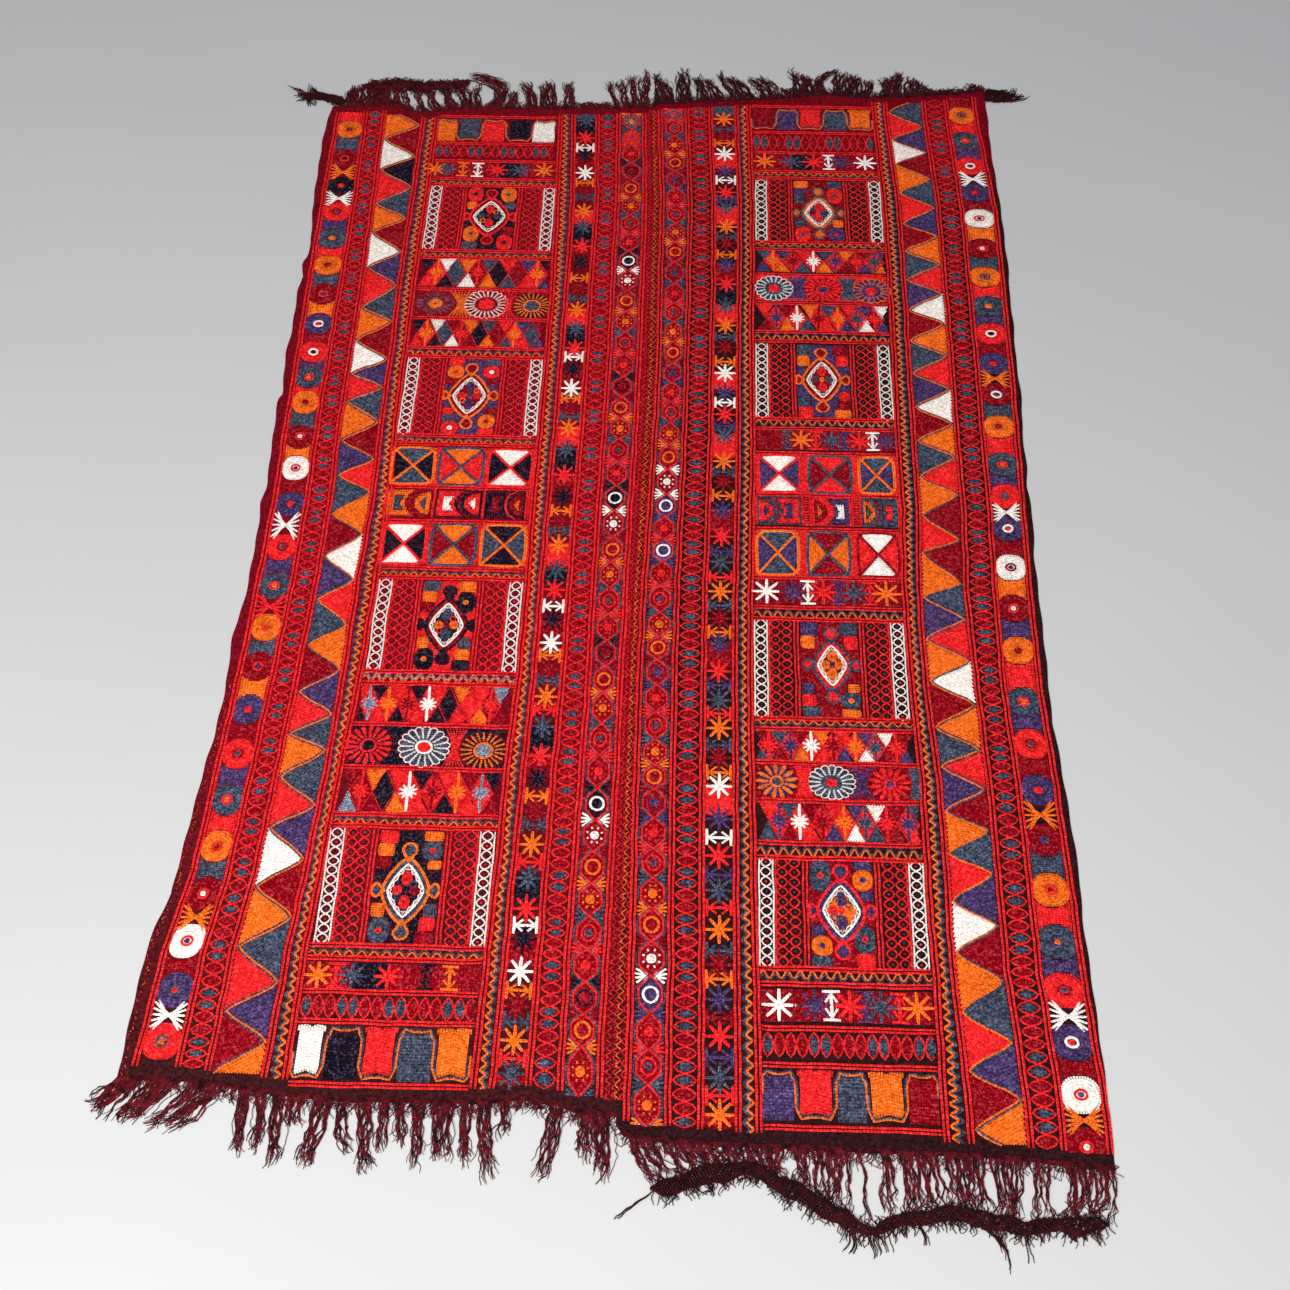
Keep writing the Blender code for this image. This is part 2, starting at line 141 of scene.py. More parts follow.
@dataclass(frozen=True)
class GroundFinish:
    """The woven ground: warp-faced wool, browner towards one end."""

    name: str
    near: Color
    far: Color
    turn_y: float
    turn_span: float

    def build(self) -> bpy.types.Material:
        """Make the node material, a fine rib across with a change of dye along the cloth."""
        graph = Graph.of_material(self.name, self.near)
        place = graph.place()
        split = graph.parts(place)
        cloudy = graph.noise(place, 9.0, 3.0)
        along = graph.math("SUBTRACT", (split, "Y"), self.turn_y)
        along = graph.math("DIVIDE", along, self.turn_span)
        along = graph.math("ADD", along, graph.math("MULTIPLY_ADD", cloudy, 0.8, 0.1))
        along = graph.math("MINIMUM", graph.math("MAXIMUM", along, 0.0), 1.0)
        warp = graph.math("SINE", graph.math("MULTIPLY", (split, "X"), 2 * pi / (1.6 * MM)))
        weft = graph.math("SINE", graph.math("MULTIPLY", (split, "Y"), 2 * pi / (2.1 * MM)))
        rib = graph.math("MULTIPLY_ADD", weft, 0.35, graph.math("MULTIPLY", warp, 0.5))
        fibre = graph.noise(place, 480.0, 3.0)
        shade = graph.math("MAXIMUM", graph.math("MULTIPLY_ADD", fibre, 3.0, -0.5), 0.25)
        # The rib's colour is lighter on its crests and darker in its troughs: painted shade.
        shade = graph.math("ADD", shade, graph.math("MULTIPLY", rib, 0.3))
        mottle_and_groove_shade = graph.noise(place, 160.0, 4.0)
        shade = graph.math("MULTIPLY", shade, graph.math("MULTIPLY_ADD", mottle_and_groove_shade, 2.6, -0.3))
        tint = graph.scaled(graph.blend(self.near, self.far, along), shade)
        return graph.coat(tint, graph.math("ADD", rib, fibre), (0.7, 0.0005), 0.92, 0.02)


@dataclass(frozen=True)
class LooseYarnFinish:
    """Loose plied wool: its colour, the paler colour of its painted highlights and its ply."""

    name: str
    color: Color
    rubbed: Color

    def build(self) -> bpy.types.Material:
        """Make the node material, with two plies winding round each yarn, painted shade in the groove
        between them and paler patches of painted highlight.
        """
        graph = Graph.of_material(self.name, self.color)
        split = graph.parts(graph.stitch_map())
        turn = graph.math("ADD", (split, "X"), (split, "Y"))
        ply = graph.math("ABSOLUTE", graph.math("SINE", graph.math("MULTIPLY", turn, 2 * pi)))
        # Paler patches at random, blended towards the highlight colour: painted highlight.
        patch = graph.math("MULTIPLY_ADD", graph.noise(graph.place(), 110.0, 3.0), 2.4, -0.85)
        # Darker in the groove between the plies: painted shade.
        shade = graph.math("MULTIPLY_ADD", ply, 0.5, 0.6)
        tint = graph.scaled(graph.blend(self.color, self.rubbed, patch), shade)
        return graph.coat(tint, ply, (0.6, 0.0004), 0.9, 0.12)


@dataclass(frozen=True)
class FloorFinish:
    """Pale painted studio floor."""

    color: Color = (0.455, 0.452, 0.452)

    def build(self) -> bpy.types.Material:
        """Make the node material."""
        graph = Graph.of_material("studio_floor", None)
        stain = graph.noise(graph.place(), 1.7, 4.0)
        tint = graph.scaled(self.color, graph.math("MULTIPLY_ADD", stain, 0.06, 0.97))
        return graph.coat(tint, None, (0.0, 0.0), 0.75, None)


@dataclass
class Graph:
    """Short calls for building a node tree."""

    tree: bpy.types.NodeTree
    finish: bpy.types.Material | None = None

    @classmethod
    def of_material(cls, name: str, seen: Color | None) -> "Graph":
        """A new node material's graph.

        Args:
            name: the material's name.
            seen: its plain viewport colour, or None to leave that as it is.

        Returns:
            The graph, which keeps the material it belongs to.
        """
        finish = bpy.data.materials.new(name)
        finish.use_nodes = True
        if seen is not None:
            finish.diffuse_color = (*seen, 1.0)
        return cls(finish.node_tree, finish)

    def node(self, kind: str, **settings: object) -> bpy.types.Node:
        """Add a node and set its properties."""
        made = self.tree.nodes.new(kind)
        for key, value in settings.items():
            setattr(made, key, value)
        return made

    def link(self, source: bpy.types.Node, output: str, target: bpy.types.Node, socket: str) -> None:
        """Join a named output to a named input."""
        self.tree.links.new(pick(source.outputs, output), pick(target.inputs, socket))

    def feed(self, target: bpy.types.Node, socket: str | int, value: object) -> None:
        """Give an input a number, a node's first output, or a (node, output name) pair."""
        slot = target.inputs[socket] if isinstance(socket, int) else pick(target.inputs, socket)
        if isinstance(value, tuple) and isinstance(value[0], bpy.types.Node):
            self.tree.links.new(pick(value[0].outputs, value[1]), slot)
        elif isinstance(value, bpy.types.Node):
            self.tree.links.new(pick(value.outputs, ""), slot)
        else:
            slot.default_value = value

    def math(self, operation: str, *values: object) -> bpy.types.Node:
        """A Math node fed with numbers or other nodes."""
        made = self.node("ShaderNodeMath", operation=operation)
        for index, value in enumerate(values):
            self.feed(made, index, value)
        return made

    def vector(self, operation: str, *values: object) -> bpy.types.Node:
        """A Vector Math node fed with vectors or other nodes."""
        made = self.node("ShaderNodeVectorMath", operation=operation)
        for index, value in enumerate(values):
            self.feed(made, index, value)
        return made

    def scaled(self, value: object, factor: object) -> bpy.types.Node:
        """A colour or vector times a number."""
        made = self.vector("SCALE", value)
        self.feed(made, "Scale", factor)
        return made

    def blend(self, near: Color, far: Color, share: object) -> tuple[bpy.types.Node, str]:
        """A colour between two others."""
        made = self.node("ShaderNodeMix", data_type="RGBA")
        self.feed(made, "A", (*near, 1.0))
        self.feed(made, "B", (*far, 1.0))
        self.feed(made, "Factor", share)
        return made, "Result"

    def parts(self, value: object) -> bpy.types.Node:
        """A vector taken apart."""
        made = self.node("ShaderNodeSeparateXYZ")
        self.feed(made, "Vector", value)
        return made

    def spread(self, value: object) -> bpy.types.Node:
        """The value in all three parts of a vector."""
        made = self.node("ShaderNodeCombineXYZ")
        for socket in "XYZ":
            self.feed(made, socket, value)
        return made

    def place(self) -> tuple[bpy.types.Node, str]:
        """The place on the object."""
        return self.node("ShaderNodeTexCoord"), "Object"

    def stitch_map(self) -> tuple[bpy.types.Node, str]:
        """The map that runs across and along each row or yarn."""
        return self.node("ShaderNodeUVMap", uv_map=STITCH_MAP), "UV"

    def noise(self, vector: object, scale: float, detail: float) -> tuple[bpy.types.Node, str]:
        """A noise texture's factor over the given vector."""
        made = self.node("ShaderNodeTexNoise")
        made.inputs["Scale"].default_value = scale
        made.inputs["Detail"].default_value = detail
        self.feed(made, "Vector", vector)
        return made, "Fac"

    def coat(
        self, tint: object, height: object, bump: tuple[float, float], rough: float, specular: float | None,
    ) -> bpy.types.Material:
        """Feed the shader and close the material.

        Args:
            tint: the colour.
            height: what the bump is read from, or None for none.
            bump: the bump's strength and its distance in metres.
            rough: the roughness.
            specular: the specular level, or None to leave it.

        Returns:
            The finished material.
        """
        shader = self.tree.nodes["Principled BSDF"]
        self.feed(shader, "Base Color", tint)
        if height is not None:
            relief = self.node("ShaderNodeBump")
            relief.inputs["Strength"].default_value, relief.inputs["Distance"].default_value = bump
            self.feed(relief, "Height", height)
            self.link(relief, "Normal", shader, "Normal")
        shader.inputs["Roughness"].default_value = rough
        if specular is not None:
            shader.inputs["Specular IOR Level"].default_value = specular
        return self.finish


def pick(sockets: Iterable[bpy.types.NodeSocket], name: str) -> bpy.types.NodeSocket:
    """The enabled socket of that name, or the first enabled one for an empty name."""
    for socket in sockets:
        if socket.enabled and name in ("", socket.name):
            return socket
    raise KeyError(name)


WOOLS = {
    Yarn.RED: WoolFinish("red_wool", (0.95, 0.018, 0.020)),
    Yarn.ORANGE: WoolFinish("orange_wool", (1.0, 0.160, 0.012)),
    Yarn.SLATE: WoolFinish("slate_wool", (0.055, 0.066, 0.108), 0.6),
    Yarn.INDIGO: WoolFinish("indigo_wool", (0.070, 0.036, 0.130), 0.5),
    Yarn.MAROON: WoolFinish("maroon_wool", (0.31, 0.001, 0.008), 0.3),
    Yarn.CREAM: WoolFinish("cream_wool", (0.93, 0.83, 0.76), 0.02, 0.22),
    Yarn.NAVY: WoolFinish("navy_wool", (0.009, 0.005, 0.016), 0.4),
    Yarn.PALE: WoolFinish("pale_slate_wool", (0.24, 0.28, 0.38), 0.5),
}
LEFT_GROUND = GroundFinish("left_ground_wool", (0.034, 0.007, 0.008), (0.155, 0.003, 0.009), -0.75, 0.7)
RIGHT_GROUND = GroundFinish("right_ground_wool", (0.022, 0.006, 0.007), (0.155, 0.002, 0.008), 1.0, 0.22)
FRINGE_WOOL = LooseYarnFinish("warp_yarn_wool", (0.022, 0.002, 0.004), (0.22, 0.009, 0.016))
HEADING_WOOL = LooseYarnFinish("twined_wool", (0.016, 0.001, 0.002), (0.15, 0.005, 0.008))
DARK_FRINGE_WOOL = LooseYarnFinish("dark_warp_yarn_wool", (0.014, 0.002, 0.004), (0.13, 0.007, 0.012))
DARK_WOOL = LooseYarnFinish("dark_twined_wool", (0.011, 0.002, 0.003), (0.062, 0.004, 0.006))


def places(text: str) -> list[float]:
    """Read a list of places set apart by spaces."""
    return [float(word) for word in text.split()]


def table(text: str, columns: int = 2) -> list[tuple[float, ...]]:
    """Read rows of numbers written one after another."""
    numbers = places(text)
    return [tuple(numbers[k : k + columns]) for k in range(0, len(numbers), columns)]


class Station(Enum):
    """Heights above the floor, in millimetres."""

    GROUND_TOP = 1.6
    ROW_FOOT = 1.5
    ROW_RISE = 1.0
    LINE_LIFT = 0.45


LINE_Y = (1150, 850, 600, 400, 200, 0, -200, -400, -600, -800, -950, -1150)


@dataclass(frozen=True)
class RedLine:
    """A double red line down the cover: its X at each of LINE_Y, in millimetres."""

    xs: tuple[float, ...]

    def at(self, y: float | np.ndarray) -> float | np.ndarray:
        """X of the line's middle at a height up the plan."""
        return np.interp(y, LINE_Y[::-1], self.xs[::-1])


LINES = tuple(RedLine(tuple(places(row))) for row in """
-706 -701 -695 -689 -684 -677 -677 -678 -684 -688 -708 -718
-646 -635 -630 -628 -625 -618 -616 -620 -626 -632 -648 -654
-605 -595 -588 -585 -583 -574 -574 -578 -584 -590 -604 -608
-515 -512 -510 -505 -502 -497 -500 -500 -502 -510 -518 -523
-486 -482 -481 -478 -475 -466 -467 -470 -480 -486 -492 -492
-211 -203 -197 -196 -197 -198 -196 -197 -203 -205 -208 -212
-183 -170 -168 -168 -168 -170 -171 -171 -175 -179 -180 -184
-130 -119 -119 -118 -118 -120 -121 -121 -125 -127 -128 -130
-83 -75 -74 -73 -74 -76 -77 -77 -80 -82 -84 -84
-26 -16 -15 -14 -15 -18 -20 -21 -22 -23 -25 -25
9 21 23 25 23 19 13 11 12 14 16 16
69 80 80 80 79 76 72 71 72 74 76 76
121 130 131 129 129 126 122 121 121 122 124 125
178 185 184 182 182 180 176 175 176 177 178 180
206 212 210 208 210 207 203 201 203 205 207 211
484 492 491 489 484 484 477 478 484 482 484 483
510 522 520 517 515 513 503 502 512 512 510 518
596 606 604 602 598 597 587 590 595 594 594 604
646 656 653 651 647 645 638 635 642 643 643 652
709 725 722 718 712 706 700 697 704 708 710 718
""".strip().splitlines())
SEAM_X = RedLine((-10, 4, 5, 6, 4, 2, -2, -4, -4, -3, -2, 0))

BARE_END = 23.0
# Where each cloth stops before the bare band, as (x, y).
STITCHED_ENDS = {
    "top_left": table("-722 1160 -600 1172 -530 1152 -500 1152 -450 1165 -150 1172 -8 1180"),
    "top_right": table("-12 1191 100 1205 200 1215 300 1225 380 1232 550 1235 736 1262"),
    "bottom_left": table("-741 -1165 -650 -1165 -560 -1175 -400 -1190 -200 -1188 -130 -1180 2 -1200"),
    "bottom_right": table("0 -1212 14 -1232 150 -1243 450 -1248 650 -1258 724 -1262"),
}


def read_table(rows: Sequence[tuple], at: float | np.ndarray, column: int = 1) -> float | np.ndarray:
    """Read a table between its rows."""
    return np.interp(at, [row[0] for row in rows], [row[column] for row in rows])


def stitched_end(x: float, top: bool) -> float:
    """Where the stitching ends, a bare band short of the woven end."""
    side = "left" if x < SEAM_X.at(STITCHED_END_Y if top else -STITCHED_END_Y) else "right"
    edge = float(read_table(STITCHED_ENDS[f"{'top' if top else 'bottom'}_{side}"], x))
    return edge - BARE_END if top else edge + BARE_END


def line_ends(line: "RedLine | Column") -> tuple[float, float]:
    """Where a line down the cover starts and stops, bottom first."""
    low = stitched_end(float(line.at(-STITCHED_END_Y)), False)
    high = stitched_end(float(line.at(STITCHED_END_Y)), True)
    return low, high


def stand(name: str, data: bpy.types.ID) -> bpy.types.Object:
    """An object of the given data, in the scene."""
    made = bpy.data.objects.new(name, data)
    bpy.context.scene.collection.objects.link(made)
    return made


def skeleton_of(name: str, paths: Sequence[Path], marks: dict[str, np.ndarray]) -> bpy.types.Object:
    """Charted paths as edges that carry values at their points.

    Args:
        name: the piece's name.
        paths: each path as (x, y, z) on the plan, in millimetres.
        marks: the values of all points by name, whole numbers or floats.

    Returns:
        The object, ready for its yarn tree.
    """
    edges = []
    start = 0
    for path in paths:
        edges.extend((i, i + 1) for i in range(start, start + len(path) - 1))
        start += len(path)
    mesh = bpy.data.meshes.new(name)
    mesh.from_pydata(plan_to_world(np.vstack(paths)).tolist(), edges, [])
    for key, values in marks.items():
        kind = "INT" if values.dtype == np.int32 else "FLOAT"
        mesh.attributes.new(key, kind, "POINT").data.foreach_set("value", values)
    return stand(name, mesh)


def plan_to_world(points: np.ndarray) -> np.ndarray:
    """Turn plan millimetres (x, y or x, y, z) into metres about the origin."""
    moved = np.array(points, dtype=float)
    moved[:, 1] -= PLAN_CENTRE_Y
    return moved * MM


def ring_path(cx: float, cy: float, rx: float, ry: float, count: int = 0) -> Path:
    """A closed oval path that ends on its first point.

    Args:
        cx: its middle's X.
        cy: its middle's Y.
        rx: its half width.
        ry: its half height.
        count: its steps, or 0 to take them from its size.

    Returns:
        The path on the plan.
    """
    count = count or max(7, int((rx + ry) * 0.62) + 5)
    turn = np.linspace(0, 2 * pi, count + 1)
    return np.column_stack((cx + rx * np.cos(turn), cy + ry * np.sin(turn)))


def rounded(points: Sequence[Point], rounds: int = 2) -> Path:
    """Round an open path's corners by cutting them, its ends kept."""
    path = np.array(points, dtype=float)
    for _ in range(rounds):
        near = path[:-1] * 0.75 + path[1:] * 0.25
        far = path[:-1] * 0.25 + path[1:] * 0.75
        middle = np.empty((2 * len(near), 2))
        middle[0::2] = near
        middle[1::2] = far
        path = np.vstack((path[:1], middle[1:-1], path[-1:]))
    return path


def beside(path: Path, distance: float) -> Path:
    """A path a fixed distance to the left of another."""
    along = np.gradient(path, axis=0)
    length = np.maximum(np.hypot(along[:, 0], along[:, 1]), 1e-6)
    normal = np.column_stack((-along[:, 1], along[:, 0])) / length[:, None]
    return path + normal * distance


def spans(shape: Path, level: float) -> list[Point]:
    """Stretches of a scan line that lie inside a closed shape."""
    after = np.roll(shape, -1, axis=0)
    hit = (shape[:, 1] <= level) != (after[:, 1] <= level)
    a = shape[hit]
    b = after[hit]
    xs = np.sort(a[:, 0] + (level - a[:, 1]) / (b[:, 1] - a[:, 1]) * (b[:, 0] - a[:, 0]))
    return [(float(xs[i]), float(xs[i + 1])) for i in range(0, len(xs) - 1, 2)]


def cut_spans(kept: list[Point], removed: list[Point]) -> list[Point]:
    """Take stretches away from other stretches."""
    for low, high in removed:
        after = []
        for start, stop in kept:
            if high <= start or low >= stop:
                after.append((start, stop))
                continue
            if start < low:
                after.append((start, low))
            if high < stop:
                after.append((high, stop))
        kept = after
    return kept


@dataclass
class StitchBed:
    """Charted rows of chain stitch that become one piece."""

    name: str
    pitch: float = 4.0
    bend: Callable[[np.ndarray], np.ndarray] | None = None
    paths: list[np.ndarray] = field(default_factory=list)
    yarns: list[int] = field(default_factory=list)
    swells: list[float] = field(default_factory=list)

    def row(
        self, path: Path | Sequence[Point], yarn: Yarn, wide: float = ROW_WIDE, lift: float = 0.0,
    ) -> None:
        """Chart one row.

        Args:
            path: points of the row on the plan, in millimetres.
            yarn: the wool it is worked in.
            wide: the row's width in millimetres.
            lift: how far it rides on the rows under it, in millimetres.
        """
        points = np.array(path, dtype=float)
        if self.bend is not None:
            points = self.bend(points)
        foot = np.full((len(points), 1), Station.ROW_FOOT.value + lift)
        self.paths.append(np.hstack((points, foot)))
        self.yarns.append(YARN_ORDER.index(yarn))
        self.swells.append(wide / ROW_WIDE)

    def line(self, path: Path | Sequence[Point], yarn: Yarn, wide: float = ROW_WIDE) -> None:
        """Chart a row that rides on the fillings beside it."""
        self.row(path, yarn, wide, Station.LINE_LIFT.value)

    def straight(
        self, a: Point, b: Point, yarn: Yarn, wide: float = ROW_WIDE, lift: float = 0.0,
    ) -> None:
        """Chart a straight row, with points no further apart than the step."""
        self.row(dense((a, b)), yarn, wide, lift)

    def fill(
        self, shape: Path | Sequence[Point], yarn: Yarn, slant: float = 0.0, holes: Iterable[Path] = (),
    ) -> None:
        """Cover a closed shape with side-by-side rows.

        Args:
            shape: the outline on the plan.
            yarn: the wool it is worked in.
            slant: the rows' angle from X, in degrees.
            holes: closed shapes left open for other wools.
        """
        turn = radians(slant)
        spin = np.array(((cos(turn), -sin(turn)), (sin(turn), cos(turn))))
        outline = np.array(shape, dtype=float) @ spin
        open_shapes = [np.array(hole, dtype=float) @ spin for hole in holes]
        low = outline[:, 1].min()
        high = outline[:, 1].max()
        count = max(1, round((high - low) / self.pitch))
        step = (high - low) / count
        for k in range(count):
            level = low + (k + 0.5) * step
            kept = spans(outline, level)
            for hole in open_shapes:
                kept = cut_spans(kept, spans(hole, level))
            for start, stop in kept:
                if stop - start < SHORTEST_ROW:
                    continue
                ends = np.array(((start + END_GAP, level), (stop - END_GAP, level))) @ spin.T
                self.straight(tuple(ends[0]), tuple(ends[1]), yarn, step * 1.07)

    def disc(
        self, cx: float, cy: float, radius: float, yarn: Yarn, tall: float = 1.0, lift: float = 0.0,
    ) -> None:
        """Cover a round or oval spot with rings.

        Args:
            cx: its middle's X.
            cy: its middle's Y.
            radius: its half width.
            yarn: its wool.
            tall: its height as a share of its width.
            lift: how far it rides on the rows under it.
        """
        reach = radius - 2.0
        while reach > 0.8:
            self.row(ring_path(cx, cy, reach, reach * tall), yarn, ROW_WIDE, lift)
            reach -= 3.8
        if radius <= 3.6:
            core = max(0.8, radius * 0.45)
            self.row(ring_path(cx, cy, core, core, 5), yarn, radius, lift)

    def star(self, cx: float, cy: float, wide: float, tall: float, yarn: Yarn) -> None:
        """A star of eight spokes crossing at its middle.

        Args:
            cx: its middle's X.
            cy: its middle's Y.
            wide: its half width.
            tall: its half height.
            yarn: its wool.
        """
        spokes = ((0.0, tall), (wide, 0.0), (wide * 0.72, tall * 0.72), (-wide * 0.72, tall * 0.72))
        for k, (x, y) in enumerate(spokes):
            lift = Station.LINE_LIFT.value + 0.4 + 0.12 * k
            self.straight((cx - x, cy - y), (cx + x, cy + y), yarn, 5.4, lift)

    def barred(self, cx: float, cy: float, wide: float, tall: float, yarn: Yarn, upright: bool) -> None:
        """Two bars joined by a pair of arrow heads.

        Args:
            cx: its middle's X.
            cy: its middle's Y.
            wide: its half width.
            tall: its bars' half length.
            yarn: its wool.
            upright: whether the bars stand, or lie.
        """
        rows = [[(-wide, 0), (0, 0), (wide, 0)]]
        for w in (-wide, wide):
            rows.append([(w, -tall), (w * 0.97, 0), (w, tall)])
            rows.append([(w * 0.22, -tall * 0.68), (w * 0.85, 0), (w * 0.22, tall * 0.68)])
        for row in rows:
            turned = [(cx + x, cy + y) if upright else (cx + y, cy + x) for x, y in row]
            self.row(turned, yarn, 5.2, Station.LINE_LIFT.value + 0.5)

    def skeleton(self) -> bpy.types.Object:
        """The charted rows as edges that carry their yarn and swell."""
        counts = np.array([len(path) for path in self.paths])
        swells = np.repeat(self.swells, counts).astype(np.float32)
        stops = np.cumsum(counts)
        swells[stops - 1] *= 0.72
        swells[stops - counts] *= 0.72
        yarns = np.repeat(self.yarns, counts).astype(np.int32)
        return skeleton_of(self.name, self.paths, {"yarn": yarns, "swell": swells})


@dataclass
class YarnTree:
    """A Geometry Nodes tree that turns charted paths into wool, and its inputs."""

    name: str
    sizes: dict[str, float]
    tree: bpy.types.NodeTree | None = None

    def start(self) -> tuple[Graph, bpy.types.Node]:
        """Make the tree with its named inputs and turn the paths into curves."""
        self.tree = bpy.data.node_groups.new(self.name, "GeometryNodeTree")
        face = self.tree.interface
        face.new_socket("Geometry", in_out="INPUT", socket_type="NodeSocketGeometry")
        face.new_socket("Geometry", in_out="OUTPUT", socket_type="NodeSocketGeometry")
        for key, value in self.sizes.items():
            made = face.new_socket(key, in_out="INPUT", socket_type="NodeSocketFloat")
            made.default_value = value
        return Graph(self.tree), self.tree.nodes.new("NodeGroupInput")

    def named(self, graph: Graph, name: str, kind: str) -> bpy.types.Node:
        """Read an attribute of the charted rows."""
        made = graph.node("GeometryNodeInputNamedAttribute", data_type=kind)
        made.inputs["Name"].default_value = name
        return made

    def captured(self, graph: Graph, source: object, value: tuple[bpy.types.Node, str]) -> bpy.types.Node:
        """Keep a float of the curve's points for the mesh made from it.

        Args:
            graph: the tree being built.
            source: the node that gives the curve.
            value: the node and output of the float.

        Returns:
            The node, whose output "kept" gives the float on the mesh.
        """
        made = graph.node("GeometryNodeCaptureAttribute", domain="POINT")
        made.capture_items.new("FLOAT", "kept")
        graph.feed(made, "Geometry", source)
        graph.feed(made, 1, value)
        return made

    def swayed(
        self, graph: Graph, given: bpy.types.Node, hand: bpy.types.Node, flat: float, reach: object,
    ) -> bpy.types.Node:
        """Shift the paths by a noise, as an uneven hand does.

        Args:
            graph: the tree being built.
            given: the tree's input node.
            hand: the noise, whose colour gives the shift.
            flat: the share of the shift that goes up and down.
            reach: how far it goes.

        Returns:
            The node that moves the paths' points.
        """
        graph.link(given, "Seed", hand, "W")
        centred = graph.vector("SUBTRACT", (hand, "Color"), (0.5, 0.5, 0.5))
        curve = graph.node("GeometryNodeMeshToCurve")
        graph.link(given, "Geometry", curve, "Mesh")
        moved = graph.node("GeometryNodeSetPosition")
        graph.link(curve, "Curve", moved, "Geometry")
        level = graph.vector("MULTIPLY", centred, (2.0, 2.0, flat))
        graph.feed(moved, "Offset", graph.scaled(level, reach))
        return moved

    def tube(self, graph: Graph, path: bpy.types.Node, profile: bpy.types.Node) -> bpy.types.Node:
        """Sweep the profile along the paths, scaled by their swell."""
        made = graph.node("GeometryNodeCurveToMesh")
        graph.feed(made, "Curve", path)
        graph.link(profile, "Geometry", made, "Profile Curve")
        for socket in made.inputs:
            if socket.name == "Scale":
                swell = self.named(graph, "swell", "FLOAT")
                self.tree.links.new(pick(swell.outputs, "Attribute"), socket)
        return made

    def thickened(self, graph: Graph, path: object) -> bpy.types.Node:
        """Set the paths' radius from their swell."""
        made = graph.node("GeometryNodeSetCurveRadius")
        graph.feed(made, "Curve", path)
        graph.feed(made, "Radius", (self.named(graph, "swell", "FLOAT"), "Attribute"))
        return made

    def apply(self, piece: bpy.types.Object) -> bpy.types.Object:
        """Run the tree on a skeleton and keep the result as a plain mesh."""
        modifier = piece.modifiers.new(self.name, "NODES")
        modifier.node_group = self.tree
        for item in self.tree.interface.items_tree:
            if item.in_out == "INPUT" and item.name in self.sizes:
                modifier[item.identifier] = self.sizes[item.name]
        bpy.context.view_layer.update()
        depsgraph = bpy.context.evaluated_depsgraph_get()
        mesh = bpy.data.meshes.new_from_object(piece.evaluated_get(depsgraph))
        skeleton = piece.data
        piece.modifiers.clear()
        piece.data = mesh
        mesh.name = piece.name
        bpy.data.meshes.remove(skeleton)
        compact(mesh)
        for extra in ("yarn", "swell"):
            if extra in mesh.attributes:
                mesh.attributes.remove(mesh.attributes[extra])
        lay_bake_map(mesh)
        return piece

    def finish_tree(
        self, graph: Graph, tube: bpy.types.Node, across: tuple, along: tuple, paint: Sequence[tuple],
    ) -> None:
        """Store the stitch map, realize, set the materials and close the tree.

        Args:
            graph: the tree being built.
            tube: the Curve to Mesh node.
            across: the node and output that run 0 to 1 round or across the yarn.
            along: the node and output that count stitches along it.
            paint: (material, yarn index or None) pairs.
        """
        pair = graph.node("ShaderNodeCombineXYZ")
        graph.feed(pair, "X", across)
        graph.feed(pair, "Y", along)
        store = graph.node("GeometryNodeStoreNamedAttribute", data_type="FLOAT2", domain="CORNER")
        store.inputs["Name"].default_value = STITCH_MAP
        graph.link(tube, "Mesh", store, "Geometry")
        graph.link(pair, "Vector", store, "Value")
        smooth = graph.node("GeometryNodeSetShadeSmooth")
        graph.link(store, "Geometry", smooth, "Geometry")
        last = graph.node("GeometryNodeRealizeInstances")
        graph.link(smooth, "Geometry", last, "Geometry")
        for finish, index in paint:
            coat = graph.node("GeometryNodeSetMaterial")
            coat.inputs["Material"].default_value = finish
            graph.link(last, "Geometry", coat, "Geometry")
            if index is not None:
                same = graph.node("FunctionNodeCompare", data_type="INT", operation="EQUAL")
                graph.feed(same, "A", self.named(graph, "yarn", "INT"))
                graph.feed(same, "B", index)
                graph.link(same, "Result", coat, "Selection")
            last = coat
        out = self.tree.nodes.new("NodeGroupOutput")
        graph.link(last, "Geometry", out, "Geometry")


def compact(mesh: bpy.types.Mesh) -> None:
    """Keep only the materials that the mesh's faces use, and nothing below the floor."""
    spots = np.empty(len(mesh.vertices) * 3, dtype=np.float32)
    mesh.vertices.foreach_get("co", spots)
    spots[2::3] = np.maximum(spots[2::3], 0.0)
    mesh.vertices.foreach_set("co", spots)
    slots = np.empty(len(mesh.polygons), dtype=np.int32)
    mesh.polygons.foreach_get("material_index", slots)
    used = [int(slot) for slot in np.unique(slots)]
    kept = [mesh.materials[slot] for slot in used]
    mesh.materials.clear()
    for finish in kept:
        mesh.materials.append(finish)
    mesh.polygons.foreach_set("material_index", np.searchsorted(used, slots).astype(np.int32))


def lay_bake_map(mesh: bpy.types.Mesh) -> None:
    """Give a piece a flat map seen from above for its stored colour."""
    count = len(mesh.vertices)
    spots = np.empty(count * 3, dtype=np.float32)
    mesh.vertices.foreach_get("co", spots)
    flat = spots.reshape(-1, 3)[:, :2]
    low = flat.min(axis=0)
    span = np.maximum(flat.max(axis=0) - low, 1e-6)
    corners = np.empty(len(mesh.loops), dtype=np.int32)
    mesh.loops.foreach_get("vertex_index", corners)
    layer = mesh.uv_layers.new(name="OFBake")
    spread = ((flat - low) / span) * 0.998 + 0.001
    layer.data.foreach_set("uv", spread[corners].astype(np.float32).ravel())


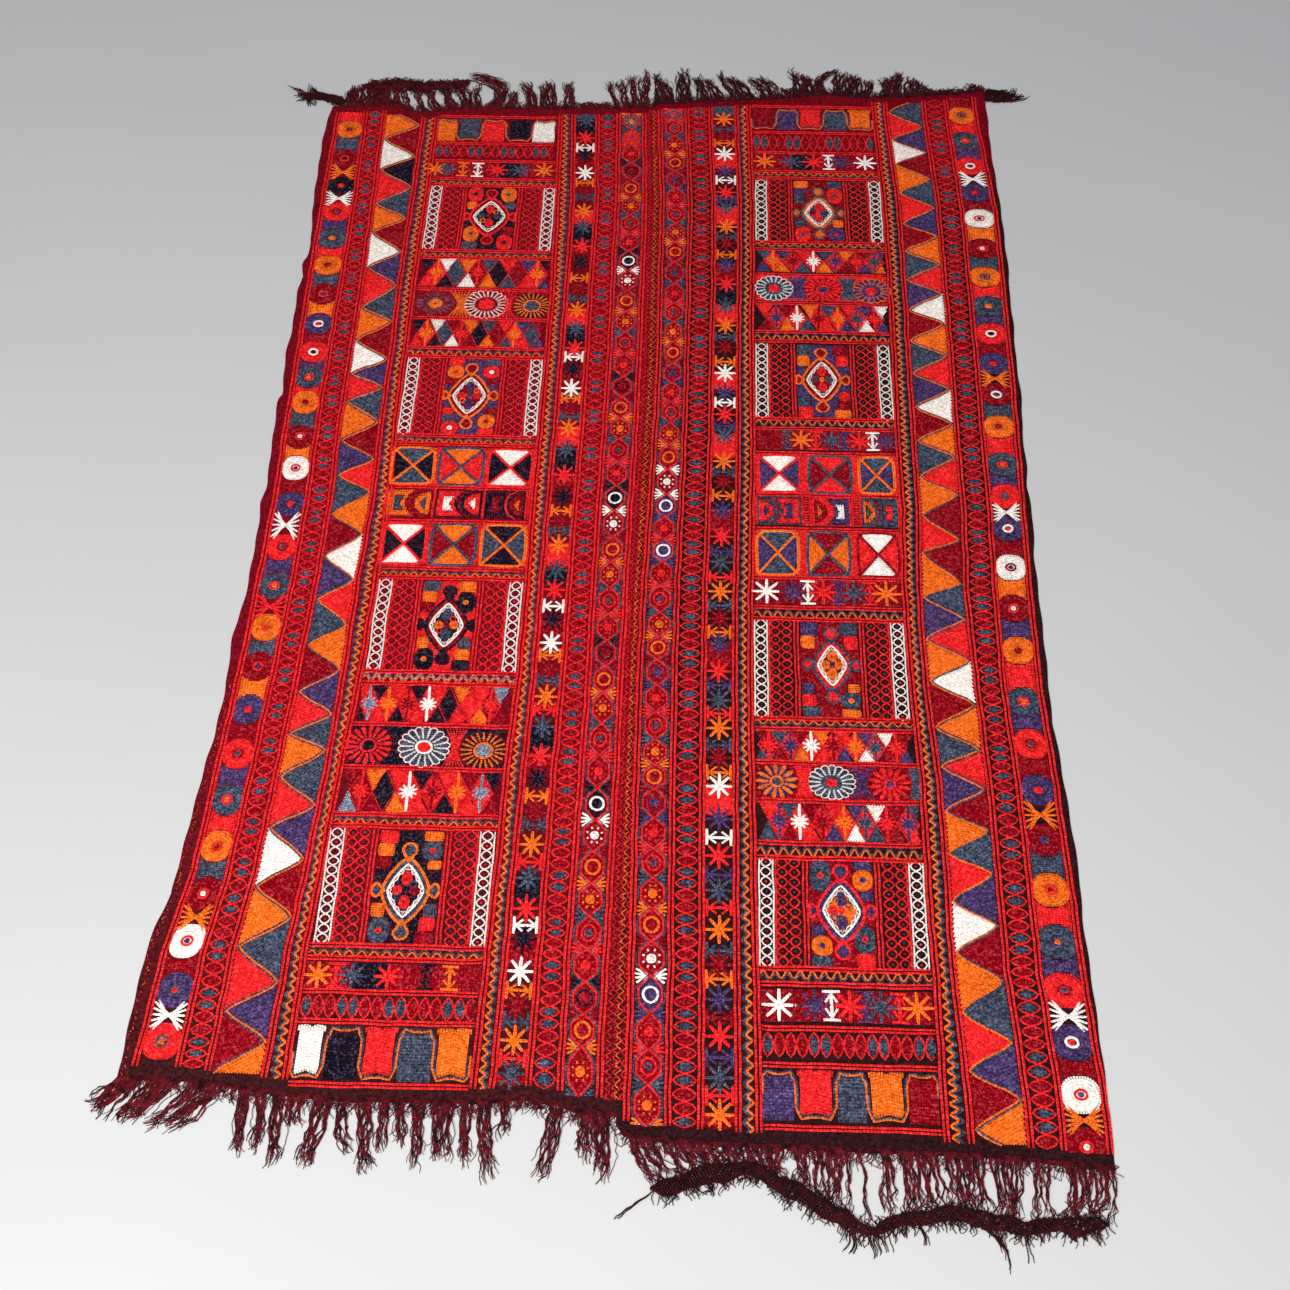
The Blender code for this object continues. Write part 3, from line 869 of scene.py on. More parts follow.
def chain_stitch_tree(materials: dict[Yarn, bpy.types.Material]) -> YarnTree:
    """The tree that turns rows into low ridges of chain stitch."""
    kit = YarnTree(
        "chain_stitch",
        {"Row Width": ROW_WIDE * MM, "Row Rise": Station.ROW_RISE.value * MM, "Wobble": 3.6 * MM,
         "Stitch Length": 5.2 * MM, "Seed": float(SEED)},
    )
    graph, given = kit.start()
    hand = graph.node("ShaderNodeTexNoise", noise_dimensions="4D")
    hand.inputs["Scale"].default_value = 17.0
    hand.inputs["Detail"].default_value = 3.0
    moved = kit.swayed(graph, given, hand, 0.05, (given, "Wobble"))
    upright = graph.node("GeometryNodeSetCurveNormal")
    if hasattr(upright, "mode"):
        upright.mode = "Z_UP"
    graph.feed(upright, "Curve", moved)
    thick = kit.thickened(graph, upright)
    kept = kit.captured(graph, thick, (graph.node("GeometryNodeSplineParameter"), "Length"))
    ridge = graph.node("GeometryNodeCurveQuadraticBezier")
    ridge.inputs["Resolution"].default_value = 2
    half = graph.math("MULTIPLY", (given, "Row Width"), 0.5)
    for socket, side, rise in (("Start", -1.0, 0.0), ("Middle", 0.0, -2.0), ("End", 1.0, 0.0)):
        corner = graph.node("ShaderNodeCombineXYZ")
        graph.feed(corner, "X", graph.math("MULTIPLY", half, side))
        graph.feed(corner, "Y", graph.math("MULTIPLY", (given, "Row Rise"), rise))
        graph.feed(ridge, socket, corner)
    profile = kit.captured(graph, ridge, (graph.node("GeometryNodeSplineParameter"), "Factor"))
    tube = kit.tube(graph, kept, profile)
    stitches = graph.math("DIVIDE", (kept, "kept"), (given, "Stitch Length"))
    paint = [(materials[yarn], index) for index, yarn in enumerate(YARN_ORDER)]
    kit.finish_tree(graph, tube, (profile, "kept"), (stitches, "Value"), paint)
    return kit


def loose_yarn_tree(finish: bpy.types.Material, name: str, crinkle: float) -> YarnTree:
    """The tree that turns paths into tapering, crinkled wool yarn.

    Args:
        finish: the yarn's material.
        name: the tree's name.
        crinkle: how far the yarn strays, in millimetres.

    Returns:
        The tree with its inputs.
    """
    sizes = {"Yarn Radius": 1.0, "Crinkle": crinkle, "Twist Length": 6.0}
    kit = YarnTree(name, {key: size * MM for key, size in sizes.items()} | {"Seed": float(SEED)})
    graph, given = kit.start()
    hand = graph.node("ShaderNodeTexNoise", noise_dimensions="4D")
    hand.inputs["Scale"].default_value = 62.0
    hand.inputs["Detail"].default_value = 2.0
    spot = graph.node("ShaderNodeCombineXYZ")
    graph.feed(spot, "Z", (kit.named(graph, "curl", "FLOAT"), "Attribute"))
    graph.feed(hand, "Vector", graph.vector("ADD", graph.node("GeometryNodeInputPosition"), spot))
    part = graph.math("POWER", (graph.node("GeometryNodeSplineParameter"), "Factor"), 0.6)
    grown = graph.math("MULTIPLY", (given, "Crinkle"), part)
    moved = kit.swayed(graph, given, hand, 0.0, grown)
    kept = kit.captured(graph, moved, (graph.node("GeometryNodeSplineParameter"), "Length"))
    ring = graph.node("GeometryNodeCurvePrimitiveCircle")
    ring.inputs["Resolution"].default_value = 3
    graph.link(given, "Yarn Radius", ring, "Radius")
    profile = kit.captured(graph, ring, (graph.node("GeometryNodeSplineParameter"), "Factor"))
    tube = kit.tube(graph, kit.thickened(graph, (kept, "Geometry")), profile)
    tube.inputs["Fill Caps"].default_value = True
    turns = graph.math("DIVIDE", (kept, "kept"), (given, "Twist Length"))
    kit.finish_tree(graph, tube, (profile, "kept"), (turns, "Value"), [(finish, None)])
    return kit


Mark = tuple[float, str, str]


def read_marks(chart: str, kinds: str) -> list[Mark]:
    """Read a chart written as place, kind letter and yarn letters.

    Args:
        chart: marks set apart by spaces, such as "1080:O-M 1030=S".
        kinds: the letters or signs that may follow the place.

    Returns:
        The marks as (place, kind, yarn letters), in the order written.
    """
    found = re.findall(rf"(-?\d+)([{kinds}])(\S+)", chart)
    return [(float(place), kind, yarns) for place, kind, yarns in found]


def oval(cx: float, cy: float, rx: float, ry: float, power: float = 2.0, count: int = 28) -> Path:
    """A closed outline: power 1 is a diamond, 2 an oval, more a soft block.

    Args:
        cx: its middle's X.
        cy: its middle's Y.
        rx: its half width.
        ry: its half height.
        power: how full its corners are.
        count: how many points it has.

    Returns:
        The outline, its last point not the first again.
    """
    turn = np.linspace(0, 2 * pi, count, endpoint=False)
    across = np.sign(np.cos(turn)) * np.abs(np.cos(turn)) ** (2 / power)
    along = np.sign(np.sin(turn)) * np.abs(np.sin(turn)) ** (2 / power)
    return np.column_stack((cx + rx * across, cy + ry * along))


def closed(shape: Path) -> Path:
    """The shape with its first point again at the end."""
    return np.vstack((shape, shape[:1]))


def block(x0: float, y0: float, x1: float, y1: float) -> list[Point]:
    """The corners of an upright rectangle."""
    return [(x0, y0), (x1, y0), (x1, y1), (x0, y1)]


def dense(points: Sequence[Point], step: float = POINT_STEP) -> Path:
    """The same open path with points no further apart than the step."""
    found = []
    for a, b in zip(points, points[1:]):
        count = max(1, int(hypot(b[0] - a[0], b[1] - a[1]) / step) + 1)
        for k in range(count):
            found.append((a[0] + (b[0] - a[0]) * k / count, a[1] + (b[1] - a[1]) * k / count))
    found.append(tuple(points[-1]))
    return np.array(found)


def woven(
    nodes: Sequence[float], reach: float, shares: Sequence[float] = WEAVE_SHARES,
) -> tuple[list[Point], list[Point]]:
    """Two lines that cross at every node.

    Args:
        nodes: where they cross, along their way.
        reach: how far they swing out between two nodes.
        shares: where the points of a swing lie between two nodes.

    Returns:
        The lines as (along, out) points, up to the last node.
    """
    lines: tuple[list[Point], list[Point]] = ([], [])
    for index, (start, stop) in enumerate(zip(nodes, nodes[1:])):
        side = 1 if index % 2 else -1
        for share in shares:
            at = start + (stop - start) * share
            out = side * reach * sin(pi * share) ** 0.8
            lines[0].append((at, out))
            lines[1].append((at, -out))
    return lines


def radial(
    bed: StitchBed, shape: Path, middle: Point, yarn: Yarn, inner: float = 3.0, lift: float = 0.0,
) -> None:
    """Cover a rounded shape with rows from its middle outwards.

    Args:
        bed: where the rows go.
        shape: the outline on the plan.
        middle: the point that the rows run from.
        yarn: the wool they are worked in.
        inner: how far from the middle they start.
        lift: how far they ride on the rows under them.
    """
    cx, cy = middle
    ring = closed(shape)
    step = np.hypot(*np.diff(ring, axis=0).T)
    reach = np.concatenate(([0.0], np.cumsum(step)))
    count = max(8, int(reach[-1] / 4.1))
    for at in np.linspace(0, reach[-1], count, endpoint=False):
        tip = (float(np.interp(at, reach, ring[:, 0])), float(np.interp(at, reach, ring[:, 1])))
        away = hypot(tip[0] - cx, tip[1] - cy)
        root = (cx + (tip[0] - cx) * inner / away, cy + (tip[1] - cy) * inner / away)
        bed.straight(root, tip, yarn, 4.4, lift)


@dataclass
class Column:
    """A strip between two double lines, worked from end to end of its cloth."""

    name: str
    left: RedLine
    right: RedLine
    chart: str = ""
    nominal: float = 25.0
    line_room: float = 6.0

    def at(self, y: float | np.ndarray) -> float | np.ndarray:
        """X of the strip's middle."""
        return (self.left.at(y) + self.right.at(y)) / 2

    def bend(self, points: np.ndarray) -> np.ndarray:
        """Lay points charted about a straight middle into the strip as it runs."""
        moved = np.array(points, dtype=float)
        half = (self.right.at(points[:, 1]) - self.left.at(points[:, 1])) / 2 - self.line_room
        moved[:, 0] = self.at(points[:, 1]) + points[:, 0] * half / self.nominal
        return moved

    def ends(self) -> tuple[float, float]:
        """Where the strip starts and stops, bottom first."""
        return line_ends(self)

    def build(self) -> StitchBed:
        """Chart the whole strip."""
        bed = StitchBed(self.name, bend=self.bend)
        self.work(bed)
        return bed

    def work(self, bed: StitchBed) -> None:
        """Chart the strip's own motifs."""
        raise NotImplementedError


@dataclass
class EyeColumn(Column):
    """Round eyes one above another with a waist or a spoked bow between them."""

    eye_half: float = 30.0

    def work(self, bed: StitchBed) -> None:
        """Chart the eyes, waists and bows."""
        marks = read_marks(self.chart, ":=x")
        low, high = self.ends()
        eyes = [mark for mark in marks if mark[1] == ":"]
        for place, _, yarns in eyes:
            self.eye(bed, place, yarns, low, high)
        for place, kind, yarns in marks:
            if kind == ":":
                continue
            above = min((eye[0] for eye in eyes if eye[0] > place), default=2 * high - place + 60)
            below = max((eye[0] for eye in eyes if eye[0] < place), default=2 * low - place - 60)
            if kind == "=":
                self.waist(bed, below, above, Yarn(yarns), low, high)
            else:
                self.bow(bed, below, above, Yarn(yarns))

    def eye(self, bed: StitchBed, place: float, yarns: str, low: float, high: float) -> None:
        """One eye: radial rows, a ring and a dot.

        Args:
            bed: where the rows go.
            place: its middle's Y.
            yarns: eye, ring (- for none) and dot yarns.
            low: the strip's bottom.
            high: the strip's top.
        """
        shape = oval(0, place, self.nominal + 2, self.eye_half, 2.5)
        shape[:, 1] = np.clip(shape[:, 1], low, high)
        radial(bed, shape, (0, place), Yarn(yarns[0]))
        ringed = yarns[1] != "-"
        if ringed:
            bed.row(ring_path(0, place, 8.6, 8.2), Yarn(yarns[1]), 4.6, 0.7)
        bed.disc(0, place, 5.2 if ringed else 7.5, Yarn(yarns[2]), 0.9, 0.7)

    def waist(
        self, bed: StitchBed, below: float, above: float, yarn: Yarn, low: float, high: float,
    ) -> None:
        """The hourglass block between two eyes.

        Args:
            bed: where the rows go.
            below: the lower eye's middle.
            above: the upper eye's middle.
            yarn: its wool.
            low: the strip's bottom.
            high: the strip's top.
        """
        xs = np.linspace(-self.nominal, self.nominal, 9)
        rise = self.eye_half * (1 - (np.abs(xs) / (self.nominal + 2)) ** 2.5) ** (1 / 2.5) + 1.0
        top = np.minimum(above - rise, high)
        bottom = np.maximum(below + rise, low)
        if np.min(top - bottom) < 2:
            return
        shape = np.vstack((np.column_stack((xs, bottom)), np.column_stack((xs, top))[::-1]))
        bed.fill(shape, yarn)

    def bow(self, bed: StitchBed, below: float, above: float, yarn: Yarn) -> None:
        """A fan of spokes crossing at the middle.

        Args:
            bed: where the rows go.
            below: the lower eye's middle.
            above: the upper eye's middle.
            yarn: its wool.
        """
        middle = (below + above) / 2
        reach = (above - below) / 2 - 15
        for k in range(-2, 3):
            tilt = reach * k / 2.6
            a = (-self.nominal, middle + tilt)
            b = (self.nominal, middle - tilt)
            bed.straight(a, b, yarn, 4.2, 0.3 + 0.15 * abs(k))
        for side in (-1, 1):
            for tilt in (-0.85, 0.85):
                tip = (side * self.nominal * 0.8, middle + tilt * reach * 1.05)
                bed.straight((side * 6.0, middle + tilt * 5), tip, yarn, 3.8, 0.2)


@dataclass
class LatticeColumn(Column):
    """Two red lines that weave over almonds, slate in pairs and maroon between."""

    nominal: float = 20.0
    pitch: float = 20.0

    def almonds(self) -> list[tuple[float, Yarn]]:
        """Every almond's place and yarn, from the charted slate ones."""
        low, high = self.ends()
        slates = sorted(places(self.chart))
        found = [(y, Yarn.SLATE) for y in slates]
        stops = [low - self.pitch / 2, *slates, high + self.pitch / 2]
        for a, b in zip(stops, stops[1:]):
            room = round((b - a) / self.pitch) - 1
            if b - a < self.pitch * 1.45:
                room = 0
            found.extend((a + (b - a) * (k + 1) / (room + 1), Yarn.MAROON) for k in range(room))
        return sorted((pair for pair in found if low + 6 < pair[0] < high - 6), key=lambda pair: pair[0])

    def work(self, bed: StitchBed) -> None:
        """Chart the almonds and the two lines that weave round them."""
        low, high = self.ends()
        cells = self.almonds()
        edges = [low]
        edges.extend((a[0] + b[0]) / 2 for a, b in zip(cells, cells[1:]))
        edges.append(high)
        for (_, yarn), bottom, top in zip(cells, edges, edges[1:]):
            spare = 1.4 if yarn is Yarn.SLATE else 0.0
            tall = (top - bottom) / 2 - 2.6 - spare
            bed.fill(oval(0, (bottom + top) / 2, self.nominal - 4.0 - spare, tall, 1.5, 16), yarn)
        for points in woven(edges, self.nominal - 1.5):
            bed.line([*((out, y) for y, out in points), (0.0, high)], Yarn.RED, 2.9)


@dataclass
class TriangleColumn(Column):
    """Two rows of rounded teeth that interlock along a double line."""

    nominal: float = 38.0
    slate_left: bool = True

    def work(self, bed: StitchBed) -> None:
        """Chart the teeth from the left and from the right, then their edge."""
        low, high = self.ends()
        teeth = sorted(read_marks(self.chart, "LR"))
        ys = [low - 20.0]
        xs = [-1.0 if teeth[0][1] == "L" else 1.0]
        for place, side, _ in teeth:
            ys.append(place)
            xs.append(1.0 if side == "L" else -1.0)
        ys.append(high + 20.0)
        xs.append(-xs[-1])
        edge: list[Point] = []
        for (y0, x0), (y1, x1) in zip(zip(ys, xs), zip(ys[1:], xs[1:])):
            for share in np.linspace(0, 1, 9)[:-1]:
                sway = cos(pi * share)
                swing = 0.55 * sway + 0.45 * (1 - 2 * share)
                middle = (x0 + x1) / 2
                edge.append(((middle + (x0 - x1) / 2 * swing) * (self.nominal - 3), y0 + (y1 - y0) * share))
        line = np.array([point for point in edge if low <= point[1] <= high])
        for index, (_, side, yarn) in enumerate(teeth):
            bottom = max(low, ys[index])
            top = min(high, ys[index + 2])
            part = line[(line[:, 1] >= bottom) & (line[:, 1] <= top)]
            wall = -self.nominal if side == "L" else self.nominal
            if len(part) < 2 or yarn == "_":
                continue
            shape = np.vstack((part, ((wall, part[-1, 1]), (wall, part[0, 1]))))
            bed.fill(shape, Yarn(yarn), 62.0 if side == "L" else -62.0)
        sides = (Yarn.SLATE, Yarn.ORANGE) if self.slate_left else (Yarn.ORANGE, Yarn.SLATE)
        for yarn, away in zip(sides, (1.5, -1.5)):
            bed.row(beside(line, away), yarn, 3.0, 0.75)


@dataclass
class WavyColumn(Column):
    """A thin orange wave beside a slate band."""

    nominal: float = 8.5
    orange_right: bool = True
    period: float = 17.5

    def work(self, bed: StitchBed) -> None:
        """Chart the slate rows and the orange one."""
        low, high = self.ends()
        ys = np.arange(low, high, self.period / 8)
        wave = 3.9 * np.sin(2 * pi * ys / self.period)
        side = 1 if self.orange_right else -1
        bed.row(np.column_stack((side * (2.5 + wave), ys)), Yarn.ORANGE, 3.5, 0.3)
        bed.row(np.column_stack((side * (-2.3 + wave), ys)), Yarn.SLATE, 4.0)


# The patch between two stars, by the letters of their yarns in alphabetical order.
STAR_GROUNDS = {
    "OS": "R", "RS": "N", "NR": "M", "IR": "M", "OR": "S", "MO": "S", "NW": "M", "IW": "R", "RW": "I",
    "MS": "N", "OW": "M", "IS": "R", "IO": "S", "MR": "N", "MW": "I", "NS": "R", "NO": "S", "SW": "I",
    "IM": "S", "MN": "R",
}


def star_ground(a: Mark, b: Mark) -> Yarn | None:
    """The ground between two stars; bare cloth beside a barred motif."""
    if a[1] == "*" and b[1] == "*":
        return Yarn(STAR_GROUNDS.get("".join(sorted(a[2] + b[2])), "M"))
    return None


@dataclass
class StarColumn(Column):
    """Eight-spoked stars and barred motifs on patches that change between them."""

    nominal: float = 21.0

    def work(self, bed: StitchBed) -> None:
        """Chart the patches, then the motifs over them."""
        low, high = self.ends()
        marks = sorted(read_marks(self.chart, "*H"))
        shades = [star_ground(a, b) for a, b in zip(marks, marks[1:])]
        shades = [Yarn.MAROON, *shades, Yarn.SLATE]
        bounds = [low, *(mark[0] for mark in marks), high]
        w = self.nominal
        for shade, bottom, top in zip(shades, bounds, bounds[1:]):
            if shade is None or top - bottom < 4:
                continue
            dip = min(9.0, (top - bottom) * 0.2)
            shape = [(-w, bottom + dip), (0, bottom), (w, bottom + dip)]
            shape += [(w, top + dip), (0, top), (-w, top + dip)]
            bed.fill(np.clip(shape, (-w, low), (w, high)), shade, 90.0)
        for place, kind, yarn in marks:
            if kind == "*":
                bed.star(0, place, w, 25.0, Yarn(yarn))
            else:
                bed.barred(0, place, w * 0.9, 15.5, Yarn(yarn), True)


@dataclass
class HexColumn(Column):
    """Six-sided rooms in red and slate outlines, with fans between them."""

    nominal: float = 24.0
    first_fan: str = "O"

    def work(self, bed: StitchBed) -> None:
        """Chart the rooms from the bottom up."""
        low, high = self.ends()
        found = re.findall(r"(-?\d+)([frd])(\w)(\w)/(\w)", self.chart)
        rooms = [(float(y), kind, Yarn(a), Yarn(b), Yarn(fan)) for y, kind, a, b, fan in found][::-1]
        nodes = [low - 4.0]
        nodes.extend((a[0] + b[0]) / 2 for a, b in zip(rooms, rooms[1:]))
        nodes.append(min(high, rooms[-1][0] + 30.0))
        for (_, kind, yarn, ground, fan), bottom, top in zip(rooms, nodes, nodes[1:]):
            self.room(bed, bottom, top, ground)
            self.content(bed, kind, (bottom + top) / 2, yarn)
            self.fans(bed, bottom, fan, low, high)
        self.fans(bed, nodes[-1], Yarn(self.first_fan), low, high)

    def side(self, wide: float, share: np.ndarray) -> np.ndarray:
        """Half width of a room along its height."""
        return wide * np.minimum(1.0, np.minimum(share, 1 - share) / 0.31) ** 0.9

    def room(self, bed: StitchBed, bottom: float, top: float, ground: Yarn) -> None:
        """The red and slate outlines and the ground inside.

        Args:
            bed: where the rows go.
            bottom: the room's bottom.
            top: its top.
            ground: the ground's yarn.
        """
        share = np.array((0.0, 0.05, 0.12, 0.2, 0.28, 0.34, 0.5, 0.66, 0.72, 0.8, 0.88, 0.95, 1.0))
        ys = bottom + (top - bottom) * share
        red = self.side(self.nominal - 5.8, share)
        slate = 4.4 + self.side(self.nominal - 6.0, share)
        inside = np.vstack((np.column_stack((-red, ys)), np.column_stack((red, ys))[::-1]))
        bed.fill(inside, ground)
        for sign in (-1, 1):
            bed.row(np.column_stack((sign * red, ys)), Yarn.RED, 3.2, 0.6)
            bed.row(np.column_stack((sign * slate, ys)), Yarn.SLATE, 2.6, 0.75)

    def content(self, bed: StitchBed, kind: str, y: float, yarn: Yarn) -> None:
        """The motif inside a room.

        Args:
            bed: where the rows go.
            kind: f for a flower, r for a ring, d for a disc in a red ring.
            y: the room's middle.
            yarn: the motif's wool.
        """
        if kind == "f":
            bed.disc(0, y, 7.6, yarn, 1.15, 0.7)
            for k in range(8):
                turn = 2 * pi * k / 8 + pi / 8
                root = (11.0 * cos(turn), y + 12.8 * sin(turn))
                tip = (14.4 * cos(turn), y + 17.4 * sin(turn))
                bed.straight(root, tip, yarn, 4.2, 0.7)
        elif kind == "r":
            bed.row(ring_path(0, y, 11.5, 13.0), yarn, 4.2, 0.7)
        else:
            bed.disc(0, y, 6.5, yarn, 1.2, 0.7)
            bed.row(ring_path(0, y, 10.8, 14.0), Yarn.RED, 3.4, 0.7)

    def fans(self, bed: StitchBed, node: float, yarn: Yarn, low: float, high: float) -> None:
        """The pair of fans beside a node, each of four rows.

        Args:
            bed: where the rows go.
            node: the node's Y.
            yarn: the fans' wool.
            low: the strip's bottom.
            high: the strip's top.
        """
        for sign in (-1, 1):
            for k in (-1.5, -0.5, 0.5, 1.5):
                tip = (sign * (self.nominal - 0.8 * k * k), min(high, max(low, node + 8.0 * k)))
                root = (sign * 4.5, min(high, max(low, node + 1.4 * k)))
                bed.straight(root, tip, yarn, 4.6, 0.1 * abs(k))


@dataclass
class Seam(Column):
    """The joining stitch: red loops over the meeting edges, orange ones beside them."""

    nominal: float = 13.0
    line_room: float = 5.0

    def work(self, bed: StitchBed) -> None:
        """Chart the crossing loops."""
        low, high = self.ends()
        low = max(low, -1212.0)
        high = min(high, 1168.0)
        ys = np.arange(low, high, 2.6)
        for offset, period, yarn, wide in (
            (-11.0, 11.0, Yarn.MAROON, 2.4), (-7.5, 13.0, Yarn.RED, 2.0), (-3.0, 10.0, Yarn.MAROON, 2.2),
            (0.6, 12.0, Yarn.RED, 1.9), (4.6, 16.0, Yarn.ORANGE, 1.9), (8.2, 13.0, Yarn.MAROON, 2.2),
            (11.6, 18.0, Yarn.RED, 2.0),
        ):
            sway = 2.9 * np.sin(2 * pi * ys / period + offset)
            bed.row(np.column_stack((offset + sway, ys)), yarn, wide, 0.12 * (offset % 3))


@dataclass
class DoubleLines:
    """The paired red rows that part the strips."""

    name: str
    lines: Sequence[RedLine]
    apart: float = 3.3
    frayed: bool = False

    def build(self) -> StitchBed:
        """Chart both rows of every line from end to end."""
        bed = StitchBed(self.name)
        for line in self.lines:
            ys = np.linspace(*line_ends(line), 190)
            for side in (-self.apart, self.apart):
                bed.row(np.column_stack((line.at(ys) + side, ys)), Yarn.RED, 3.5, 0.7)
        if self.frayed:
            self.fray(bed)
        return bed

    def fray(self, bed: StitchBed) -> None:
        """Chart the short broken threads along the outer selvedge's lower half."""
        rng = random.Random(SEED)
        for y in np.arange(-1165.0, -420.0, 6.0):
            x = float(read_table(LEFT_SELVEDGE, y)) + rng.uniform(1.5, 9.0)
            tip = (x + rng.uniform(-2.0, 3.5), y + rng.uniform(-6.0, 6.0))
            bed.straight((x, y), tip, rng.choice((Yarn.RED, Yarn.RED, Yarn.ORANGE, Yarn.MAROON)), 2.0, 0.1)


@dataclass
class Field:
    """One of the two wide fields: blocks stacked between its side lines."""

    name: str
    left: RedLine
    right: RedLine
    ruled: list[float] = field(default_factory=list)

    def sides(self, y: float) -> tuple[float, float]:
        """The field's inner left and right at a height."""
        return float(self.left.at(y)) + LINE_OVERLAP, float(self.right.at(y)) - LINE_OVERLAP

    def posts(
        self, bed: StitchBed, xs: Iterable[float], top: float, bottom: float, *look: Yarn | float,
    ) -> None:
        """Upright rows through a block's height, of the given yarn, width and lift."""
        for x in xs:
            bed.straight((x, bottom + 1), (x, top - 1), *look)

    def walls(self, top: float, chart: str) -> list[tuple[float, float]]:
        """The gaps beside and between the cells of a chart."""
        x0, x1 = self.sides(top)
        edges = [x0, *(float(x) for x in re.findall(r"-?\d+", chart)), x1]
        return list(zip(edges[::2], edges[1::2]))

    def rule(self, bed: StitchBed, y: float) -> None:
        """A double red line across the field, unless one already runs there."""
        if any(abs(y - other) < 8.0 for other in self.ruled):
            return
        self.ruled.append(y)
        x0, x1 = self.sides(y)
        for side in (-2.9, 2.9):
            bed.straight((x0, y + side), (x1, y + side), Yarn.RED, 3.4, 0.6)

    def wave(self, bed: StitchBed, top: float, bottom: float, upper: Yarn, lower: Yarn) -> None:
        """A zigzag of two yarns across the field.

        Args:
            bed: where the rows go.
            top: the row's top.
            bottom: the row's bottom.
            upper: the yarn on top.
            lower: the yarn below it.
        """
        self.rule(bed, top + 3)
        self.rule(bed, bottom - 3)
        x0, x1 = self.sides(top)
        turns = round((x1 - x0) / 19)
        xs = np.linspace(x0, x1, 8 * turns + 1)
        zig = np.sin(np.linspace(0, 2 * pi * turns, len(xs)))
        reach = (top - bottom) / 2 - 3.6
        for yarn, shift in ((upper, 2.9), (lower, -2.9)):
            points = np.column_stack((xs, (top + bottom) / 2 + shift + zig * reach))
            bed.row(points, yarn, 2.7, 0.1)

    def flags(self, bed: StitchBed, top: float, bottom: float, chart: str, over: bool) -> None:
        """A row of notched flags with a slate and orange edge that winds over and under them.

        Args:
            bed: where the rows go.
            top: the row's top.
            bottom: the row's bottom.
            chart: each flag's left, right and yarn.
            over: whether the edge runs over the first flag.
        """
        self.rule(bed, top + 3)
        edge: list[Point] = []
        for x0, x1, yarn in re.findall(r"(-?\d+)[.][.](-?\d+)(\w)", chart):
            a, b = float(x0) + 0.5, float(x1) - 0.5
            m = (a + b) / 2
            if over:
                edge += [(a, top - 5), (m, top - 12), (b, top - 5)]
                shape = [(a + 1, bottom + 2), (b - 1, bottom + 2), (b - 2.5, top - 9)]
                shape += [(m, top - 16), (a + 2.5, top - 9)]
            else:
                edge += [(a, bottom + 5), (m, bottom + 12), (b, bottom + 5)]
                shape = [(a + 2.5, bottom + 9), (m, bottom + 16), (b - 2.5, bottom + 9), (b - 2, top - 14)]
                shape += [(b, top - 4), (m + 6, top - 3), (m, top - 6), (m - 6, top - 3), (a, top - 4)]
                shape.append((a + 2, top - 14))
            bed.fill(shape, Yarn(yarn), 90.0)
            over = not over
        edge = [(edge[0][0], (top + bottom) / 2), *edge, (edge[-1][0], (top + bottom) / 2)]
        path = dense(rounded(edge, 1), 9)
        bed.row(beside(path, 1.5), Yarn.SLATE, 2.8, 0.5)
        bed.row(beside(path, -1.5), Yarn.ORANGE, 2.8, 0.5)

    def lattice(self, bed: StitchBed, top: float, bottom: float, slates: str) -> None:
        """A row of upright almonds between two red lines that weave across.

        Args:
            bed: where the rows go.
            top: the row's top.
            bottom: the row's bottom.
            slates: places of the slate almonds; the others are maroon.
        """
        self.rule(bed, top + 3)
        x0, x1 = self.sides(top)
        count = round((x1 - x0) / 17.6)
        wide = (x1 - x0) / count
        slate_cells = {int((place - x0) / wide) for place in places(slates)}
        middle = (top + bottom) / 2
        tall = (top - bottom) / 2 - 3
        for k in range(count):
            x = x0 + (k + 0.5) * wide
            yarn = Yarn.SLATE if k in slate_cells else Yarn.MAROON
            bed.fill(oval(x, middle, wide / 2 - 1.6, tall - 3, 1.5, 16), yarn, 90.0)
        for points in woven([x0 + k * wide for k in range(count + 1)], tall - 1):
            bed.line([(x, middle + rise) for x, rise in points], Yarn.RED, 2.8)

    def stars(self, bed: StitchBed, top: float, bottom: float, chart: str) -> None:
        """A row of stars and barred motifs on changing patches.

        Args:
            bed: where the rows go.
            top: the row's top.
            bottom: the row's bottom.
            chart: each motif's place, * for a star or H for bars, and yarn.
        """
        self.rule(bed, top + 3)
        x0, x1 = self.sides(top)
        marks = sorted(read_marks(chart, "*H"))
        dark = [False, *(star_ground(a, b) is Yarn.NAVY for a, b in zip(marks, marks[1:])), False]
        bounds = [x0, *(mark[0] for mark in marks), x1]
        for is_dark, a, b in zip(dark, bounds, bounds[1:]):
            if b - a > 3:
                bed.fill(block(a, bottom + 2, b, top - 2), Yarn.NAVY if is_dark else Yarn.MAROON)
        middle = (top + bottom) / 2
        tall = (top - bottom) / 2 - 3
        for place, kind, yarn in marks:
            if kind == "*":
                bed.star(place, middle, tall, tall * 1.02, Yarn(yarn))
            else:
                bed.barred(place, middle, tall * 0.92, 13.0, Yarn(yarn), False)

